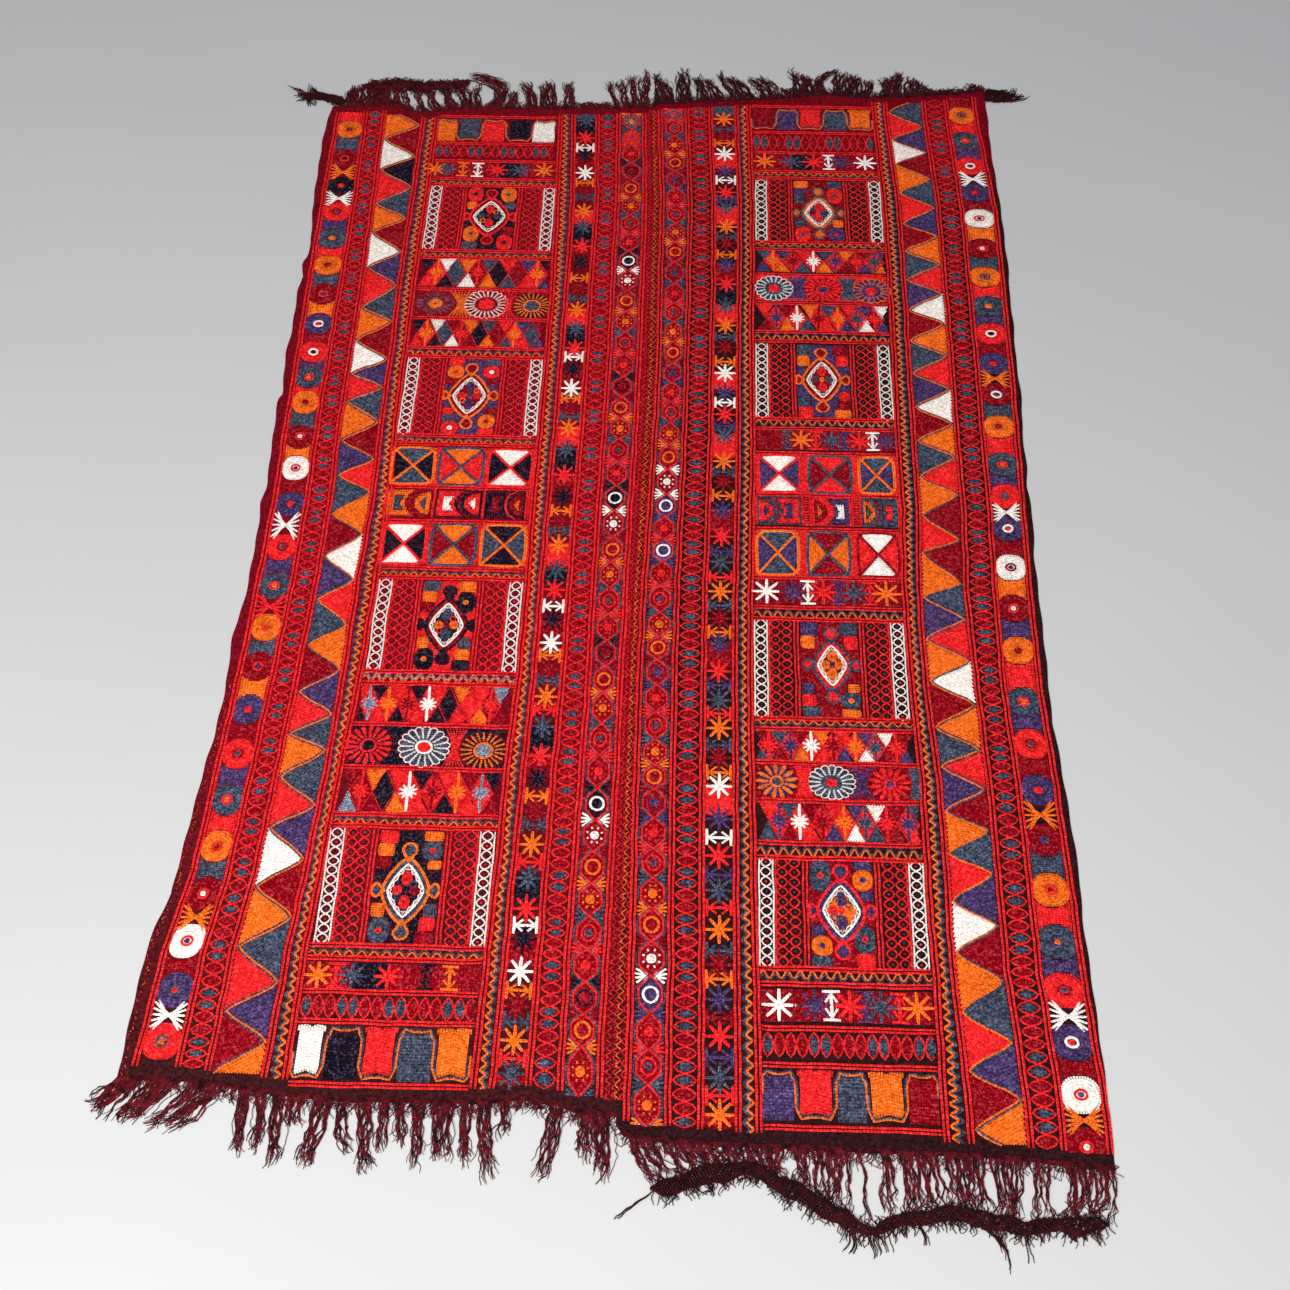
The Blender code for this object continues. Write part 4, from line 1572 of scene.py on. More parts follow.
    def triangles(self, bed: StitchBed, top: float, bottom: float, tops: str, mids: str, lows: str) -> None:
        """A row of diamonds between hanging and standing triangles.

        Args:
            bed: where the rows go.
            top: the row's top.
            bottom: the row's bottom.
            tops: places and yarns of the triangles that hang.
            mids: places and yarns of the diamonds, with * where one holds a flower.
            lows: places and yarns of the triangles that stand.
        """
        self.rule(bed, top + 3)
        x0, x1 = self.sides(top)
        middle = (top + bottom) / 2
        diamonds = re.findall(r"(-?\d+)([.*])(\w)", mids)
        centres = [float(mark[0]) for mark in diamonds]
        gap = float(np.mean(np.diff(centres))) if len(centres) > 1 else 40.0
        half = gap / 2
        clip = ((x0, bottom + 1), (x1, top - 1))
        for chart, base, tip in ((tops, top - 1, middle - 2), (lows, bottom + 1, middle + 2)):
            for place, _, yarn in re.findall(r"(-?\d+)([.*])(\w)", chart):
                x = float(place)
                shape = np.clip([(x - half + 1.5, base), (x + half - 1.5, base), (x, tip)], *clip)
                bed.fill(shape, Yarn(yarn), 60.0 if base > tip else -60.0)
        for place, mark, yarn in diamonds:
            x = float(place)
            shape = np.clip([(x - half, middle), (x, bottom + 1), (x + half, middle), (x, top - 1)], *clip)
            ground = Yarn(yarn)
            if mark == "*":
                ground = Yarn.RED if yarn != "R" else Yarn.MAROON
            bed.fill(shape, ground, 60.0)
            bed.row(closed(shape), Yarn.RED, 2.6, 0.5)
            if mark == "*":
                self.flower(bed, x, middle, (top - bottom) / 2, Yarn(yarn))

    def flower(self, bed: StitchBed, x: float, y: float, tall: float, yarn: Yarn) -> None:
        """A flower with one long upright spoke."""
        bed.straight((x, y - tall * 0.9), (x, y + tall * 0.9), yarn, 4.8, 1.0)
        for turn in (20, 55, 125, 160):
            tip = (15.0 * cos(radians(turn)), 15.0 * sin(radians(turn)))
            bed.straight((x - tip[0], y - tip[1]), (x + tip[0], y + tip[1]), yarn, 4.6, 1.0)

    def rosette(
        self, bed: StitchBed, middle: Point, reach: Point, kind: str, count: int, yarns: str, core: float,
    ) -> None:
        """A round rosette: petals, a ring and a disc.

        Args:
            bed: where the rows go.
            middle: its middle.
            reach: its half width and half height.
            kind: o for open loops, # for thin spokes, @ for full petals.
            count: how many petals it has.
            yarns: petal, petal inside, ring and disc yarns.
            core: the disc's radius.
        """
        petal, inside, ring, heart = (Yarn(letter) for letter in yarns)
        base = np.array(middle)
        size = np.array(reach)
        hole = oval(*middle, core + 2, core + 2)
        bed.fill(oval(*middle, reach[0] - 1.5, reach[1] - 1.5), inside, 0.0, [hole])
        start = (core + 6.5) / reach[1]
        wing = {"o": 0.86 * pi / count, "@": 1.9 / reach[0], "#": 0.0}[kind]
        for k in range(count):
            turn = 2 * pi * (k + 0.4) / count
            out = np.array((cos(turn), sin(turn)))
            side = np.array((-out[1], out[0])) * wing
            if kind == "#":
                root, tip = base + out * size * start, base + out * size * 0.97
                bed.straight(tuple(root), tuple(tip), petal, 4.0, 0.6)
                continue
            loop = [out * start - side * 0.35, out * 0.74 - side * 0.8, out * 0.94 - side, out * 1.04]
            loop += [out * 0.94 + side, out * 0.74 + side * 0.8, out * start + side * 0.35]
            line = rounded([tuple(base + spot * size) for spot in loop], 1)
            bed.row(line, petal, 2.2 if kind == "o" else 3.6, 0.6)
        bed.row(ring_path(*middle, core + 3.0, core + 3.0), ring, 4.4, 0.5)
        bed.disc(*middle, core + 1.2, heart, 0.95)

    def rosettes(
        self, bed: StitchBed, top: float, bottom: float, flowers: str, bows: str, base: Yarn,
    ) -> None:
        """A row of rosettes with waisted fans between them.

        Args:
            bed: where the rows go.
            top: the row's top.
            bottom: the row's bottom.
            flowers: each rosette's place, reach, petals with their kind, yarns and disc.
            bows: each fan's place, half width, kind (solid or crossed rows) and yarn.
            base: the ground's yarn.
        """
        self.rule(bed, top + 3)
        x0, x1 = self.sides(top)
        heads = re.findall(r"(-?\d+),(-?\d+),(\d+)x(\d+),(\d+)([o#@])(\w{4}),(\d+)", flowers)
        holes = [oval(float(x), float(y), float(rx), float(ry)) for x, y, rx, ry, *_ in heads]
        bed.fill(block(x0, bottom + 1, x1, top - 1), base, 0.0, holes)
        for x, y, rx, ry, count, kind, yarns, core in heads:
            spot, reach = (float(x), float(y)), (float(rx), float(ry))
            self.rosette(bed, spot, reach, kind, int(count), yarns, float(core))
        middle = (top + bottom) / 2
        for place, half, kind, yarn in re.findall(r"(-?\d+),(\d+)([sx])(\w)", bows):
            x = float(place)
            solid = kind == "s"
            rows = max(2, round(float(half) / (4.4 if solid else 7.0)))
            for k in range(-rows, rows + 1):
                out = float(half) * k / rows
                waist = out * (0.42 if solid else 0.2)
                knee = x + (out + waist) / 2.3
                spots = [(x + out, bottom + 3), (knee, (middle + bottom) / 2), (x + waist, middle)]
                spots += [(knee, (middle + top) / 2), (x + out, top - 3)]
                bed.row(rounded(spots, 1), Yarn(yarn), 4.2 if solid else 3.2, 0.55 + 0.06 * abs(k))

    def crossed(self, bed: StitchBed, top: float, bottom: float, chart: str) -> None:
        """A row of squares crossed corner to corner.

        Args:
            bed: where the rows go.
            top: the row's top.
            bottom: the row's bottom.
            chart: each square's left, right and the yarns of its cross, its upper and lower wedges
                and its side wedges.
        """
        self.rule(bed, top + 3)
        for x0, x1, cross, upper, side in re.findall(r"(-?\d+)[.][.](-?\d+)(\w)(\w)(\w)", chart):
            a, b = float(x0), float(x1)
            mx, my = (a + b) / 2, (top + bottom) / 2
            corners = [(a + 4, bottom + 5), (b - 4, bottom + 5), (b - 4, top - 5), (a + 4, top - 5)]
            bulge = [(mx, bottom + 2.4), (b - 2, my), (mx, top - 2.4), (a + 2, my)]
            rim: list[Point] = []
            for k in range(4):
                yarn = Yarn(upper) if k % 2 == 0 else Yarn(side)
                wedge = np.array([corners[k], bulge[k], corners[(k + 1) % 4], (mx, my)])
                inner = wedge * 0.97 + wedge.mean(axis=0) * 0.03
                bed.fill(inner, yarn, 0.0 if k % 2 == 0 else 90.0)
                rim += [corners[k], bulge[k]]
            bed.fill(block(a, bottom + 1, b, top - 1), Yarn.RED, 90.0, [np.array(rim)])
            bed.row(rounded([*rim, rim[0]], 1), Yarn(cross), 6.0, 0.75)
            for p, q in ((0, 2), (1, 3)):
                bed.straight(corners[p], corners[q], Yarn(cross), 4.8, 0.85)
        for a, b in self.walls(top, chart):
            rows = max(1, round((b - a) / 3.4))
            xs = (a + (b - a) * (k + 0.5) / rows for k in range(rows))
            self.posts(bed, xs, top, bottom, Yarn.RED, 3.4, 0.35)

    def moons(self, bed: StitchBed, top: float, bottom: float, chart: str) -> None:
        """A row of cells, each with a block and a half moon.

        Args:
            bed: where the rows go.
            top: the row's top.
            bottom: the row's bottom.
            chart: each cell's left and right, with < where it is turned, then the yarns of its
                ground, block, block's heart, moon and moon's heart.
        """
        self.rule(bed, top + 3)
        for x0, x1, turned, *yarns in re.findall(r"(-?\d+)[.][.](-?\d+)(<?)(\w)(\w)(\w)(\w)(\w)", chart):
            a, b = (float(x1), float(x0)) if turned else (float(x0), float(x1))
            ground, body, core, moon, heart = (Yarn(letter) for letter in yarns)

            def laid(*spots: Point) -> np.ndarray:
                """Points given as shares of the cell's width and half height."""
                half = (top - bottom) / 2 - 2
                return np.array([(a + u * (b - a), (top + bottom) / 2 + v * half) for u, v in spots])

            inner_side = ((0.6, -0.9), (0.46, -0.45), (0.41, 0), (0.46, 0.45), (0.6, 0.9))
            slab = laid((0.05, -0.9), *inner_side, (0.05, 0.9))
            slab_heart = laid((0.18, -0.52), (0.4, -0.52), (0.31, 0), (0.4, 0.52), (0.18, 0.52))
            disc = laid((0.94, -0.84), (0.78, -0.7), (0.63, -0.3), (0.63, 0.3), (0.78, 0.7), (0.94, 0.84))
            disc_heart = laid((0.85, -0.48), (0.71, 0), (0.85, 0.48))
            cell = block(min(a, b) + 1, bottom + 1, max(a, b) - 1, top - 1)
            bed.fill(cell, ground, 90.0, [slab, disc])
            bed.fill(slab, body, 90.0, [slab_heart])
            bed.fill(slab_heart, core, 90.0)
            bed.fill(disc, moon, 90.0, [disc_heart])
            bed.fill(disc_heart, heart, 90.0)
            arc = laid((0.78, -1.0), (0.6, -0.7), (0.52, -0.25), (0.52, 0.25), (0.6, 0.7), (0.78, 1.0))
            bed.row(arc, Yarn.MAROON if moon is not Yarn.MAROON else Yarn.RED, 4.2, 0.5)
        for a, b in self.walls(top, chart):
            narrow = b - a < 9.0
            if not narrow:
                bed.fill(block(a + 2, bottom + 1, b - 2, top - 1), Yarn.MAROON, 90.0)
                for y in np.arange(bottom + 4, top - 2, 6.4):
                    bed.straight((a + 3, y), (b - 3, y), Yarn.RED, 3.2, 0.6)
            self.posts(bed, (a + 1.5, b - 1.5), top, bottom, Yarn.RED, 3.2, 0.4 if narrow else 0.5)

    def ring_strip(
        self, bed: StitchBed, x: float, top: float, bottom: float, wide: float, yarns: str,
    ) -> None:
        """A column of interlaced rings with a dot in each.

        Args:
            bed: where the rows go.
            x: the column's middle.
            top: its top.
            bottom: its bottom.
            wide: the rings' half width.
            yarns: the ring yarn and the yarns that its dots take in turn.
        """
        count = round((top - bottom) / 18.0)
        step = (top - bottom) / count
        for k in range(count):
            y = bottom + (k + 0.5) * step
            dot = Yarn(yarns[1 + k % (len(yarns) - 1)])
            bed.straight((x, y - 1.6), (x, y + 1.6), dot, ROW_WIDE, 0.1)
        nodes = [bottom + k * step for k in range(count + 1)]
        for points in woven(nodes, wide, (0.0, 0.2, 0.5, 0.8)):
            bed.row([*((x + out, y) for y, out in points), (x, top)], Yarn(yarns[0]), 2.5, 0.3)

    def box(self, bed: StitchBed, top: float, bottom: float, design: "Medallion") -> None:
        """A tall box: ring strips at both sides of a medallion.

        Args:
            bed: where the rows go.
            top: the box's top.
            bottom: its bottom.
            design: its medallion.
        """
        x0, x1 = self.sides((top + bottom) / 2)
        for side, wall in ((1, x0), (-1, x1)):
            cream = [wall + side * line for line in (1.5, 23.5)]
            self.posts(bed, cream, top, bottom, Yarn.CREAM, 2.6, 0.35)
            for away, wide, yarns in ((12.5, 8.6, "WRNRI"), (38.0, 8.4, "RSMS"), (57.5, 8.6, "RMSS")):
                self.ring_strip(bed, wall + side * away, top, bottom, wide, yarns)
            red = [wall + side * line for line in (27.5, 71.5, 77.5)]
            self.posts(bed, red, top, bottom, Yarn.RED, 3.0, 0.45)
        design.work(bed, x0 + 81, x1 - 81, bottom + 2, top - 2)


@dataclass
class Medallion:
    """A diamond medallion with four knobs, and blocks and eyes in the corners.

    A corner is written from the panel's end inwards, two letters a block: its
    yarn, then the dot of the eye worked there or a dash for a plain block.
    """

    x: float
    y: float
    ground: str
    outer: str
    band: str
    lobes: str
    knob: str
    corners: str
    half_wide: float = 28.0
    half_tall: float = 47.0

    def work(self, bed: StitchBed, x0: float, x1: float, y0: float, y1: float) -> None:
        """Chart the medallion in its panel.

        Args:
            bed: where the rows go.
            x0: the panel's left.
            x1: its right.
            y0: its bottom.
            y1: its top.
        """
        w = self.half_wide
        t = self.half_tall
        body = oval(self.x, self.y, w + 10, t + 14, 1.38)
        knobs = ((0, t + 28, 11.5), (0, -t - 28, 11.5), (-w - 18, 0, 7.0), (w + 18, 0, 7.0))
        knob_shapes = [self.knob_shape(*knob) for knob in knobs]
        blocks = self.corner_blocks(x0, x1, y0, y1)
        holes = [body, *knob_shapes, *(shape for shape, _, _ in blocks)]
        bed.fill(block(x0, y0, x1, y1), Yarn(self.ground), 90.0, holes)
        for shape, yarn, dot in blocks:
            if dot == "-":
                bed.fill(shape, Yarn(yarn), 0.0)
                continue
            cx, cy = shape.mean(axis=0)
            radial(bed, shape, (cx, cy), Yarn(yarn))
            bed.disc(cx, cy, 5.6, Yarn(dot), 1.0, 0.6)
        for shape in knob_shapes:
            shape = np.clip(shape, (x0, y0), (x1, y1))
            bed.fill(shape, Yarn(self.knob), 90.0)
            bed.row(closed(shape), Yarn(self.outer), 4.4, 0.5)
        bed.fill(body, Yarn(self.band), 0.0, [oval(self.x, self.y, w, t, 1.25)])
        bed.row(closed(body), Yarn(self.outer), 4.8, 0.5)
        bed.row(closed(oval(self.x, self.y, w + 0.8, t + 1.2, 1.25)), Yarn.CREAM, 3.5, 0.6)
        inner = closed(oval(self.x, self.y, w - 4.0, t - 6.2, 1.3, 36))
        inner = inner + (inner - (self.x, self.y)) * np.where(np.arange(37) % 2, 0.07, -0.04)[:, None]
        bed.row(inner, Yarn.CREAM, 2.5, 0.55)
        top, right, bottom, left, core, slant, across = self.lobes
        bed.fill(oval(self.x, self.y, w - 5, t - 8, 1.35), Yarn(slant), 90.0)
        for sx, sy in ((0.4, 0.27), (-0.4, -0.27)):
            bed.disc(self.x + sx * w, self.y + sy * t, 6.4, Yarn(across), 1.35, 0.35)
        lobes = (
            (0, 0.46, 8.8, 13.5, top), (0.47, 0, 7.8, 9.6, right),
            (0, -0.46, 8.8, 13.5, bottom), (-0.47, 0, 7.8, 9.6, left),
        )
        for sx, sy, rx, ry, letter in lobes:
            cx, cy = self.x + sx * w, self.y + sy * t
            radial(bed, oval(cx, cy, rx, ry), (cx, cy), Yarn(letter), 1.0, 0.55)
        bed.disc(self.x, self.y, 5.2, Yarn(core), 1.5, 0.95)

    def knob_shape(self, kx: float, ky: float, rx: float, ry: float = 12.5) -> Path:
        """A knob's outline, a drop whose neck points at the medallion.

        Args:
            kx: its place right of the medallion's middle.
            ky: its place above it.
            rx: its half width.
            ry: its half height.

        Returns:
            The outline on the plan.
        """
        turn = np.linspace(0, 2 * pi, 20, endpoint=False)
        away = np.array((np.sign(kx), np.sign(ky)))
        across = np.array((-away[1], away[0]))
        neck = np.maximum(-np.cos(turn), 0)
        out = np.cos(turn) - 0.75 * neck ** 4
        wide = np.sin(turn) * (1 - 0.55 * neck ** 2)
        size = np.array((rx, ry))
        return np.array((self.x + kx, self.y + ky)) + (out[:, None] * away + wide[:, None] * across) * size

    def corner_blocks(self, x0: float, x1: float, y0: float, y1: float) -> list[tuple[Path, str, str]]:
        """Every corner block of the panel.

        Args:
            x0: the panel's left.
            x1: its right.
            y0: its bottom.
            y1: its top.

        Returns:
            Each block's outline, yarn letter and dot letter or dash.
        """
        found = []
        for code, (cx, cy) in zip(self.corners.split(), ((x0, y1), (x1, y1), (x0, y0), (x1, y0))):
            inward = 1 if cx == x0 else -1
            up = 1 if cy == y0 else -1
            tiers = [code[i : i + 2] for i in range(0, len(code), 2)]
            shares = [1.0 if dot == "-" else 1.9 for _, dot in tiers]
            room = min(72.0, 30.0 * sum(shares))
            far = 0.0
            for (yarn, dot), share in zip(tiers, shares):
                tall = room * share / sum(shares)
                y = cy + up * (far + tall / 2)
                wide = 36.0 - 0.2 * (far + tall / 2)
                if dot == "-":
                    shape = oval(cx + inward * wide / 2, y, wide / 2 - 0.5, tall / 2 - 0.4, 5.0, 20)
                    found.append((shape, yarn, dot))
                else:
                    found.append((oval(cx + inward * 17.5, y, 17, tall / 2 + 1.0, 2.3), yarn, dot))
                far += tall
        return found


@dataclass
class LeftField(Field):
    """The left cloth's wide field."""

    def build(self) -> StitchBed:
        """Chart its blocks from the top down."""
        bed = StitchBed(self.name)
        flags = "-480..-437O -435..-385S -383..-330R -325..-272N -270..-220W"
        self.flags(bed, 1130, 1044, flags, True)
        self.lattice(bed, 1036, 988, "-470 -452 -399 -382 -329 -311 -258 -241")
        self.stars(bed, 976, 924, "-470*O -448*S -412HO -380HW -338*R -288*S -237*O")
        self.wave(bed, 916, 900, Yarn.SLATE, Yarn.ORANGE)
        corners = "RNO- OSS- S-OS RNM-"
        self.box(bed, 894, 690, Medallion(-343, 797, "N", "R", "M", "RSRSMNO", "M", corners, 32))
        self.wave(bed, 684, 668, Yarn.SLATE, Yarn.ORANGE)
        self.triangles(
            bed, 664, 575, "-462.N -418.W -376.O -330.S -292.R -250.I -217.N",
            "-437*O -398.S -353*R -310.N -270.M -230*O", "-455.R -417.N -373.W -330.O -290.S -250.R -217.I",
        )
        flowers = "-431,526,43x38,19#SMSO,13 -328,526,44x41,24oWMMR,15 -235,524,38x38,22#ONOS,14"
        self.rosettes(bed, 566, 484, flowers, "-379,23xO -284,16xR", Yarn.MAROON)
        self.triangles(
            bed, 480, 400, "-458.N -420.W -387.M -355.O -318.S -285.R -250.I -219.M",
            "-440*O -405.S -372*R -335.N -298.M -265*O -230.S",
            "-460.R -423.N -388.W -352.M -317.O -280.S -247.R -217.I",
        )
        self.wave(bed, 396, 376, Yarn.SLATE, Yarn.ORANGE)
        corners = "R-ORM- S-RWM- RWS-R- R-OMM-"
        self.box(bed, 370, 160, Medallion(-340, 267, "I", "O", "M", "IRIRSMO", "M", corners, 30))
        self.wave(bed, 156, 140, Yarn.SLATE, Yarn.ORANGE)
        self.crossed(bed, 130, 30, "-473..-387OSN -383..-295SOR -291..-203RWN")
        self.moons(bed, 24, -50, "-472..-384MOSOS -380..-292NRWRW -288..-212NNMMO")
        self.crossed(bed, -60, -164, "-470..-384RWN -380..-293SOM -288..-202ONS")
        self.wave(bed, -172, -188, Yarn.SLATE, Yarn.ORANGE)
        corners = "S-O-M- O-NO NOO- N-O-S-"
        self.box(bed, -196, -400, Medallion(-332, -298, "R", "N", "M", "SOSOMNR", "N", corners))
        self.wave(bed, -405, -424, Yarn.PALE, Yarn.ORANGE)
        self.triangles(
            bed, -430, -510, "-461.R -432.N -400.R -365.N -330.R -292.O -258.R -225.G",
            "-447*G -415*O -382*M -347*W -312.N -275.R -240*R",
            "-463.N -430.R -398.N -364.R -330.N -294.R -258.O -222.M",
        )
        flowers = "-439,-557,39x38,18@RNRN,10 -345,-558,42x41,18oWSWR,10 -245,-562,40x38,21#ONOG,12"
        self.rosettes(bed, -516, -600, flowers, "-293,18xR", Yarn.NAVY)
        self.triangles(
            bed, -604, -690, "-460.M -420.O -380.R -340.N -300.R -260.M -225.N",
            "-440*R -402.N -362*W -322*M -282*O -242*G", "-462.G -425.M -380.O -345.R -300.N -262.R -222.M",
        )
        self.wave(bed, -696, -712, Yarn.SLATE, Yarn.ORANGE)
        corners = "R-O-M- O-SRO- SRO- M-R-S-"
        self.box(bed, -720, -930, Medallion(-347, -833, "N", "O", "S", "RMRRNNS", "S", corners))
        self.wave(bed, -936, -952, Yarn.SLATE, Yarn.ORANGE)
        self.stars(bed, -960, -1010, "-465*O -437HR -413*S -357*R -300HN -262HO -232*M")
        self.lattice(bed, -1015, -1060, "-475 -428 -410 -354 -336 -262 -244")
        self.flags(bed, -1065, -1160, "-485..-440W -438..-385N -383..-331R -329..-275S -273..-220O", False)
        self.rule(bed, -1164)
        return bed


@dataclass
class RightField(Field):
    """The right cloth's wide field."""

    def build(self) -> StitchBed:
        """Chart its blocks from the top down."""
        bed = StitchBed(self.name)
        self.flags(bed, 1186, 1104, "213..264M 266..314I 316..368R 370..423S 425..477O", False)
        self.lattice(bed, 1094, 1030, "222 240 298 318 382 403 467")
        self.stars(bed, 1024, 968, "240*O 297*S 345*R 378HW 405*I 457*W")
        self.wave(bed, 960, 944, Yarn.ORANGE, Yarn.SLATE)
        corners = "O-I-S- S-RS RSS- IRO-"
        self.box(bed, 935, 734, Medallion(352, 828, "M", "S", "O", "RIRMRSR", "O", corners, 28, 41))
        self.wave(bed, 730, 714, Yarn.ORANGE, Yarn.SLATE)
        self.triangles(
            bed, 710, 640, "237.S 277.I 318.R 362.S 405.O 447.M 474.I",
            "255*O 295*M 337*W 382*I 425*R 462*S", "230.I 270.O 312.S 358.O 400.M 440.I 474.O",
        )
        flowers = "254,591,38x36,18oWSSR,11 354,590,38x35,18@RMRI,9 453,588,39x35,18oOIIR,11"
        self.rosettes(bed, 630, 554, flowers, "304,19sI 404,18sS", Yarn.RED)
        self.triangles(
            bed, 544, 464, "235.R 280.M 325.O 362.S 405.R 437.I 470.W",
            "258*I 300*W 343*M 382*O 420*S 455*R", "238.M 280.O 320.S 360.R 398.I 437.W 470.I",
        )
        self.wave(bed, 460, 440, Yarn.SLATE, Yarn.ORANGE)
        self.box(bed, 430, 224, Medallion(345, 330, "I", "O", "M", "RSRSOMM", "M", "S-O- M-R- R-S- O-M-R-"))
        self.wave(bed, 220, 200, Yarn.ORANGE, Yarn.SLATE)
        self.stars(bed, 194, 140, "235*M 273HS 302*O 330HR 360*S 385HI 412*R 437HW 462*I")
        self.crossed(bed, 130, 30, "216..300RWI 311..395SRM 405..476OSI")
        self.moons(bed, 24, -50, "216..298<SRIRI 316..390<RIWMO 408..476<SSROS")
        self.crossed(bed, -60, -170, "212..293OSI 304..385SMO 395..474MWR")
        self.stars(bed, -176, -236, "232*W 255HM 278*I 305HW 332*R 358HI 387*S 415HR 445*O")
        self.wave(bed, -244, -264, Yarn.SLATE, Yarn.ORANGE)
        corners = "I-O- S-R- S-R-I- O-SOO-"
        self.box(bed, -270, -480, Medallion(343, -367, "M", "S", "R", "OOOOIMO", "R", corners, 23, 42))
        self.wave(bed, -484, -500, Yarn.ORANGE, Yarn.SLATE)
        self.triangles(
            bed, -504, -570, "225.M 250.S 285.M 320.O 357.R 393.I 428.W 462.M",
            "232*R 268*I 303*W 340*M 377*O 410*S 445*R", "225.S 252.M 287.O 322.R 357.I 395.W 430.M 460.I",
        )
        flowers = "244,-609,33x32,13@OIOS,7 335,-609,39x33,18oWSSR,8 431,-610,33x32,14@RMRI,6"
        self.rosettes(bed, -574, -644, flowers, "289,14sR 384,21xI 473,9sS", Yarn.MAROON)
        self.triangles(
            bed, -650, -724, "230.R 262.S 300.M 337.R 372.I 405.W 440.M 468.S",
            "247*I 280*W 318*M 353*O 387*S 422*R 457*I", "228.S 262.M 298.R 335.I 370.W 403.S 437.M 468.R",
        )
        self.wave(bed, -730, -752, Yarn.SLATE, Yarn.ORANGE)
        corners = "SR I-OII- S-OII- R-SR"
        self.box(bed, -756, -950, Medallion(343, -850, "M", "R", "I", "IOIRROS", "I", corners, 28, 43))
        self.wave(bed, -956, -976, Yarn.ORANGE, Yarn.SLATE)
        self.stars(bed, -986, -1044, "242*W 265HM 297*I 322HW 350*R 375HI 397*S 425HR 452*O")
        self.lattice(bed, -1056, -1104, "232 292 312 373 393 449 469")
        self.flags(bed, -1116, -1204, "215..264I 266..322R 324..370S 372..427O 429..476M", True)
        self.rule(bed, -1212)
        return bed


EYES_LEFT = (
    "1129=R 1080:O-M 1030=S 980:MRN 931xO 888:N-R 846xW 803:RMS 757=I 718:S-O 675=R 635:O-M 593=S 548:MRI "
    "508=O 460:IWR 416=M 380:RWN 344=I 308:SRO 273=R 240:O-M 195=S 148:MRW 110=O 68:WRI 23=M -23:I-R -78xW "
    "-128:RMS -172=I -218:SRO -266xR -313:O-R -358=S -398:MRI -442=O -490:I-R -535=M -580:RMS -627=I "
    "-671:SRO -717=R -760:ORM -803=S -848:MRW -886xO -933:WRI -975=M -1017:ISR -1057xW -1102:RSO"
)
EYES_RIGHT = (
    "1206=M 1168:OSM 1120=R 1080:SRO 1035=I 993:RWS 955xW 905:IMR 865=M 820:WRI 778=O 725:MRW 675=S 638:OSM "
    "592=R 550:S-O 510=I 470:RWN 425=M 385:I-R 350xO 300:MWI 260=S 213:O-M 160=R 115:SRO 70=I 35:R-S -5xW "
    "-45:IWR -88=M -137:WMI -185=O -232:MRW -280=I -325:O-M -380=R -435:SRO -480=I -522:RMS -570=M -615:I-R "
    "-665xO -710:M-I -757=S -802:ORM -850=R -895:SIO -935=I -978:RMS -1028xW -1065:IWR -1100=M -1148:WRI "
    "-1190xO -1228:MRW"
)
LATTICE_B = (
    "1130 1108 1050 1030 968 948 892 873 826 807 757 735 677 658 603 590 555 537 457 438 380 362 311 292 "
    "255 240 172 150 90 75 15 -8 -42 -60 -118 -134 -188 -205 -255 -272 -330 -348 -405 -425 -482 -500 -552 "
    "-571 -633 -653 -712 -731 -788 -806 -855 -875 -936 -957 -1020 -1040 -1102 -1120"
)
LATTICE_H = (
    "1130 1110 1052 1032 968 948 885 862 810 788 733 713 655 630 575 555 490 472 390 370 310 290 230 210 "
    "132 112 50 33 -27 -42 -98 -118 -176 -195 -252 -270 -325 -343 -403 -422 -482 -502 -560 -580 -637 -717 "
    "-735 -798 -820 -885 -900 -957 -978 -1037 -1057 -1120 -1142"
)
LATTICE_K = (
    "1175 1155 1092 1073 1010 988 930 908 850 828 775 760 683 620 602 522 505 440 420 357 340 283 265 210 "
    "190 102 82 22 1 -38 -98 -118 -180 -200 -268 -288 -348 -370 -437 -457 -540 -562 -628 -650 -706 -725 "
    "-785 -806 -872 -891 -955 -973 -1035 -1055 -1120 -1142 -1208"
)
LATTICE_Q = (
    "1145 1122 1065 1045 982 963 900 882 817 795 730 713 642 625 563 500 478 458 397 378 320 300 238 218 "
    "150 130 68 50 7 -57 -75 -136 -155 -210 -230 -286 -305 -370 -390 -455 -473 -533 -550 -588 -628 -650 "
    "-717 -740 -800 -825 -890 -912 -985 -1010 -1088 -1113 -1180 -1200"
)
TEETH_C = (
    "1098LO 1050RM 990LW 945RN 888LR 832RS 785LO 740RM 680LW 630RI 578LR 510RS 470LO 415RM 363LW 320RI "
    "285LR 245RS 190LO 140RM 95LI 52RR 10LS -45RO -92LM -147RW -200LI -247RR -302LS -348RO -400LM -450RI "
    "-495LR -537RS -568LO -625RS -677LR -722RI -780LW -832RM -885LO -940RS -1000LR -1050RI -1098LM -1150RO"
)
TEETH_P = (
    "1175RS 1125LR 1078RI 1037LW 995RM 947LO 898RS 852LR 800RI 760LM 713RO 672LS 625RR 585LI 535RW 495LM "
    "445RO 403LS 352RR 312LI 262RW 218LM 172RO 132LS 78RR 35LO -17RM -75LR -107RM -178LO -210RS -258LI "
    "-305RR -350LO -395RW -445LM -492RO -537LS -572RR -615LI -660RM -695LO -740RS -775LR -827RI -870LW "
    "-918RM -965LO -1020RS -1067LR -1115RI -1157LM -1207RO"
)
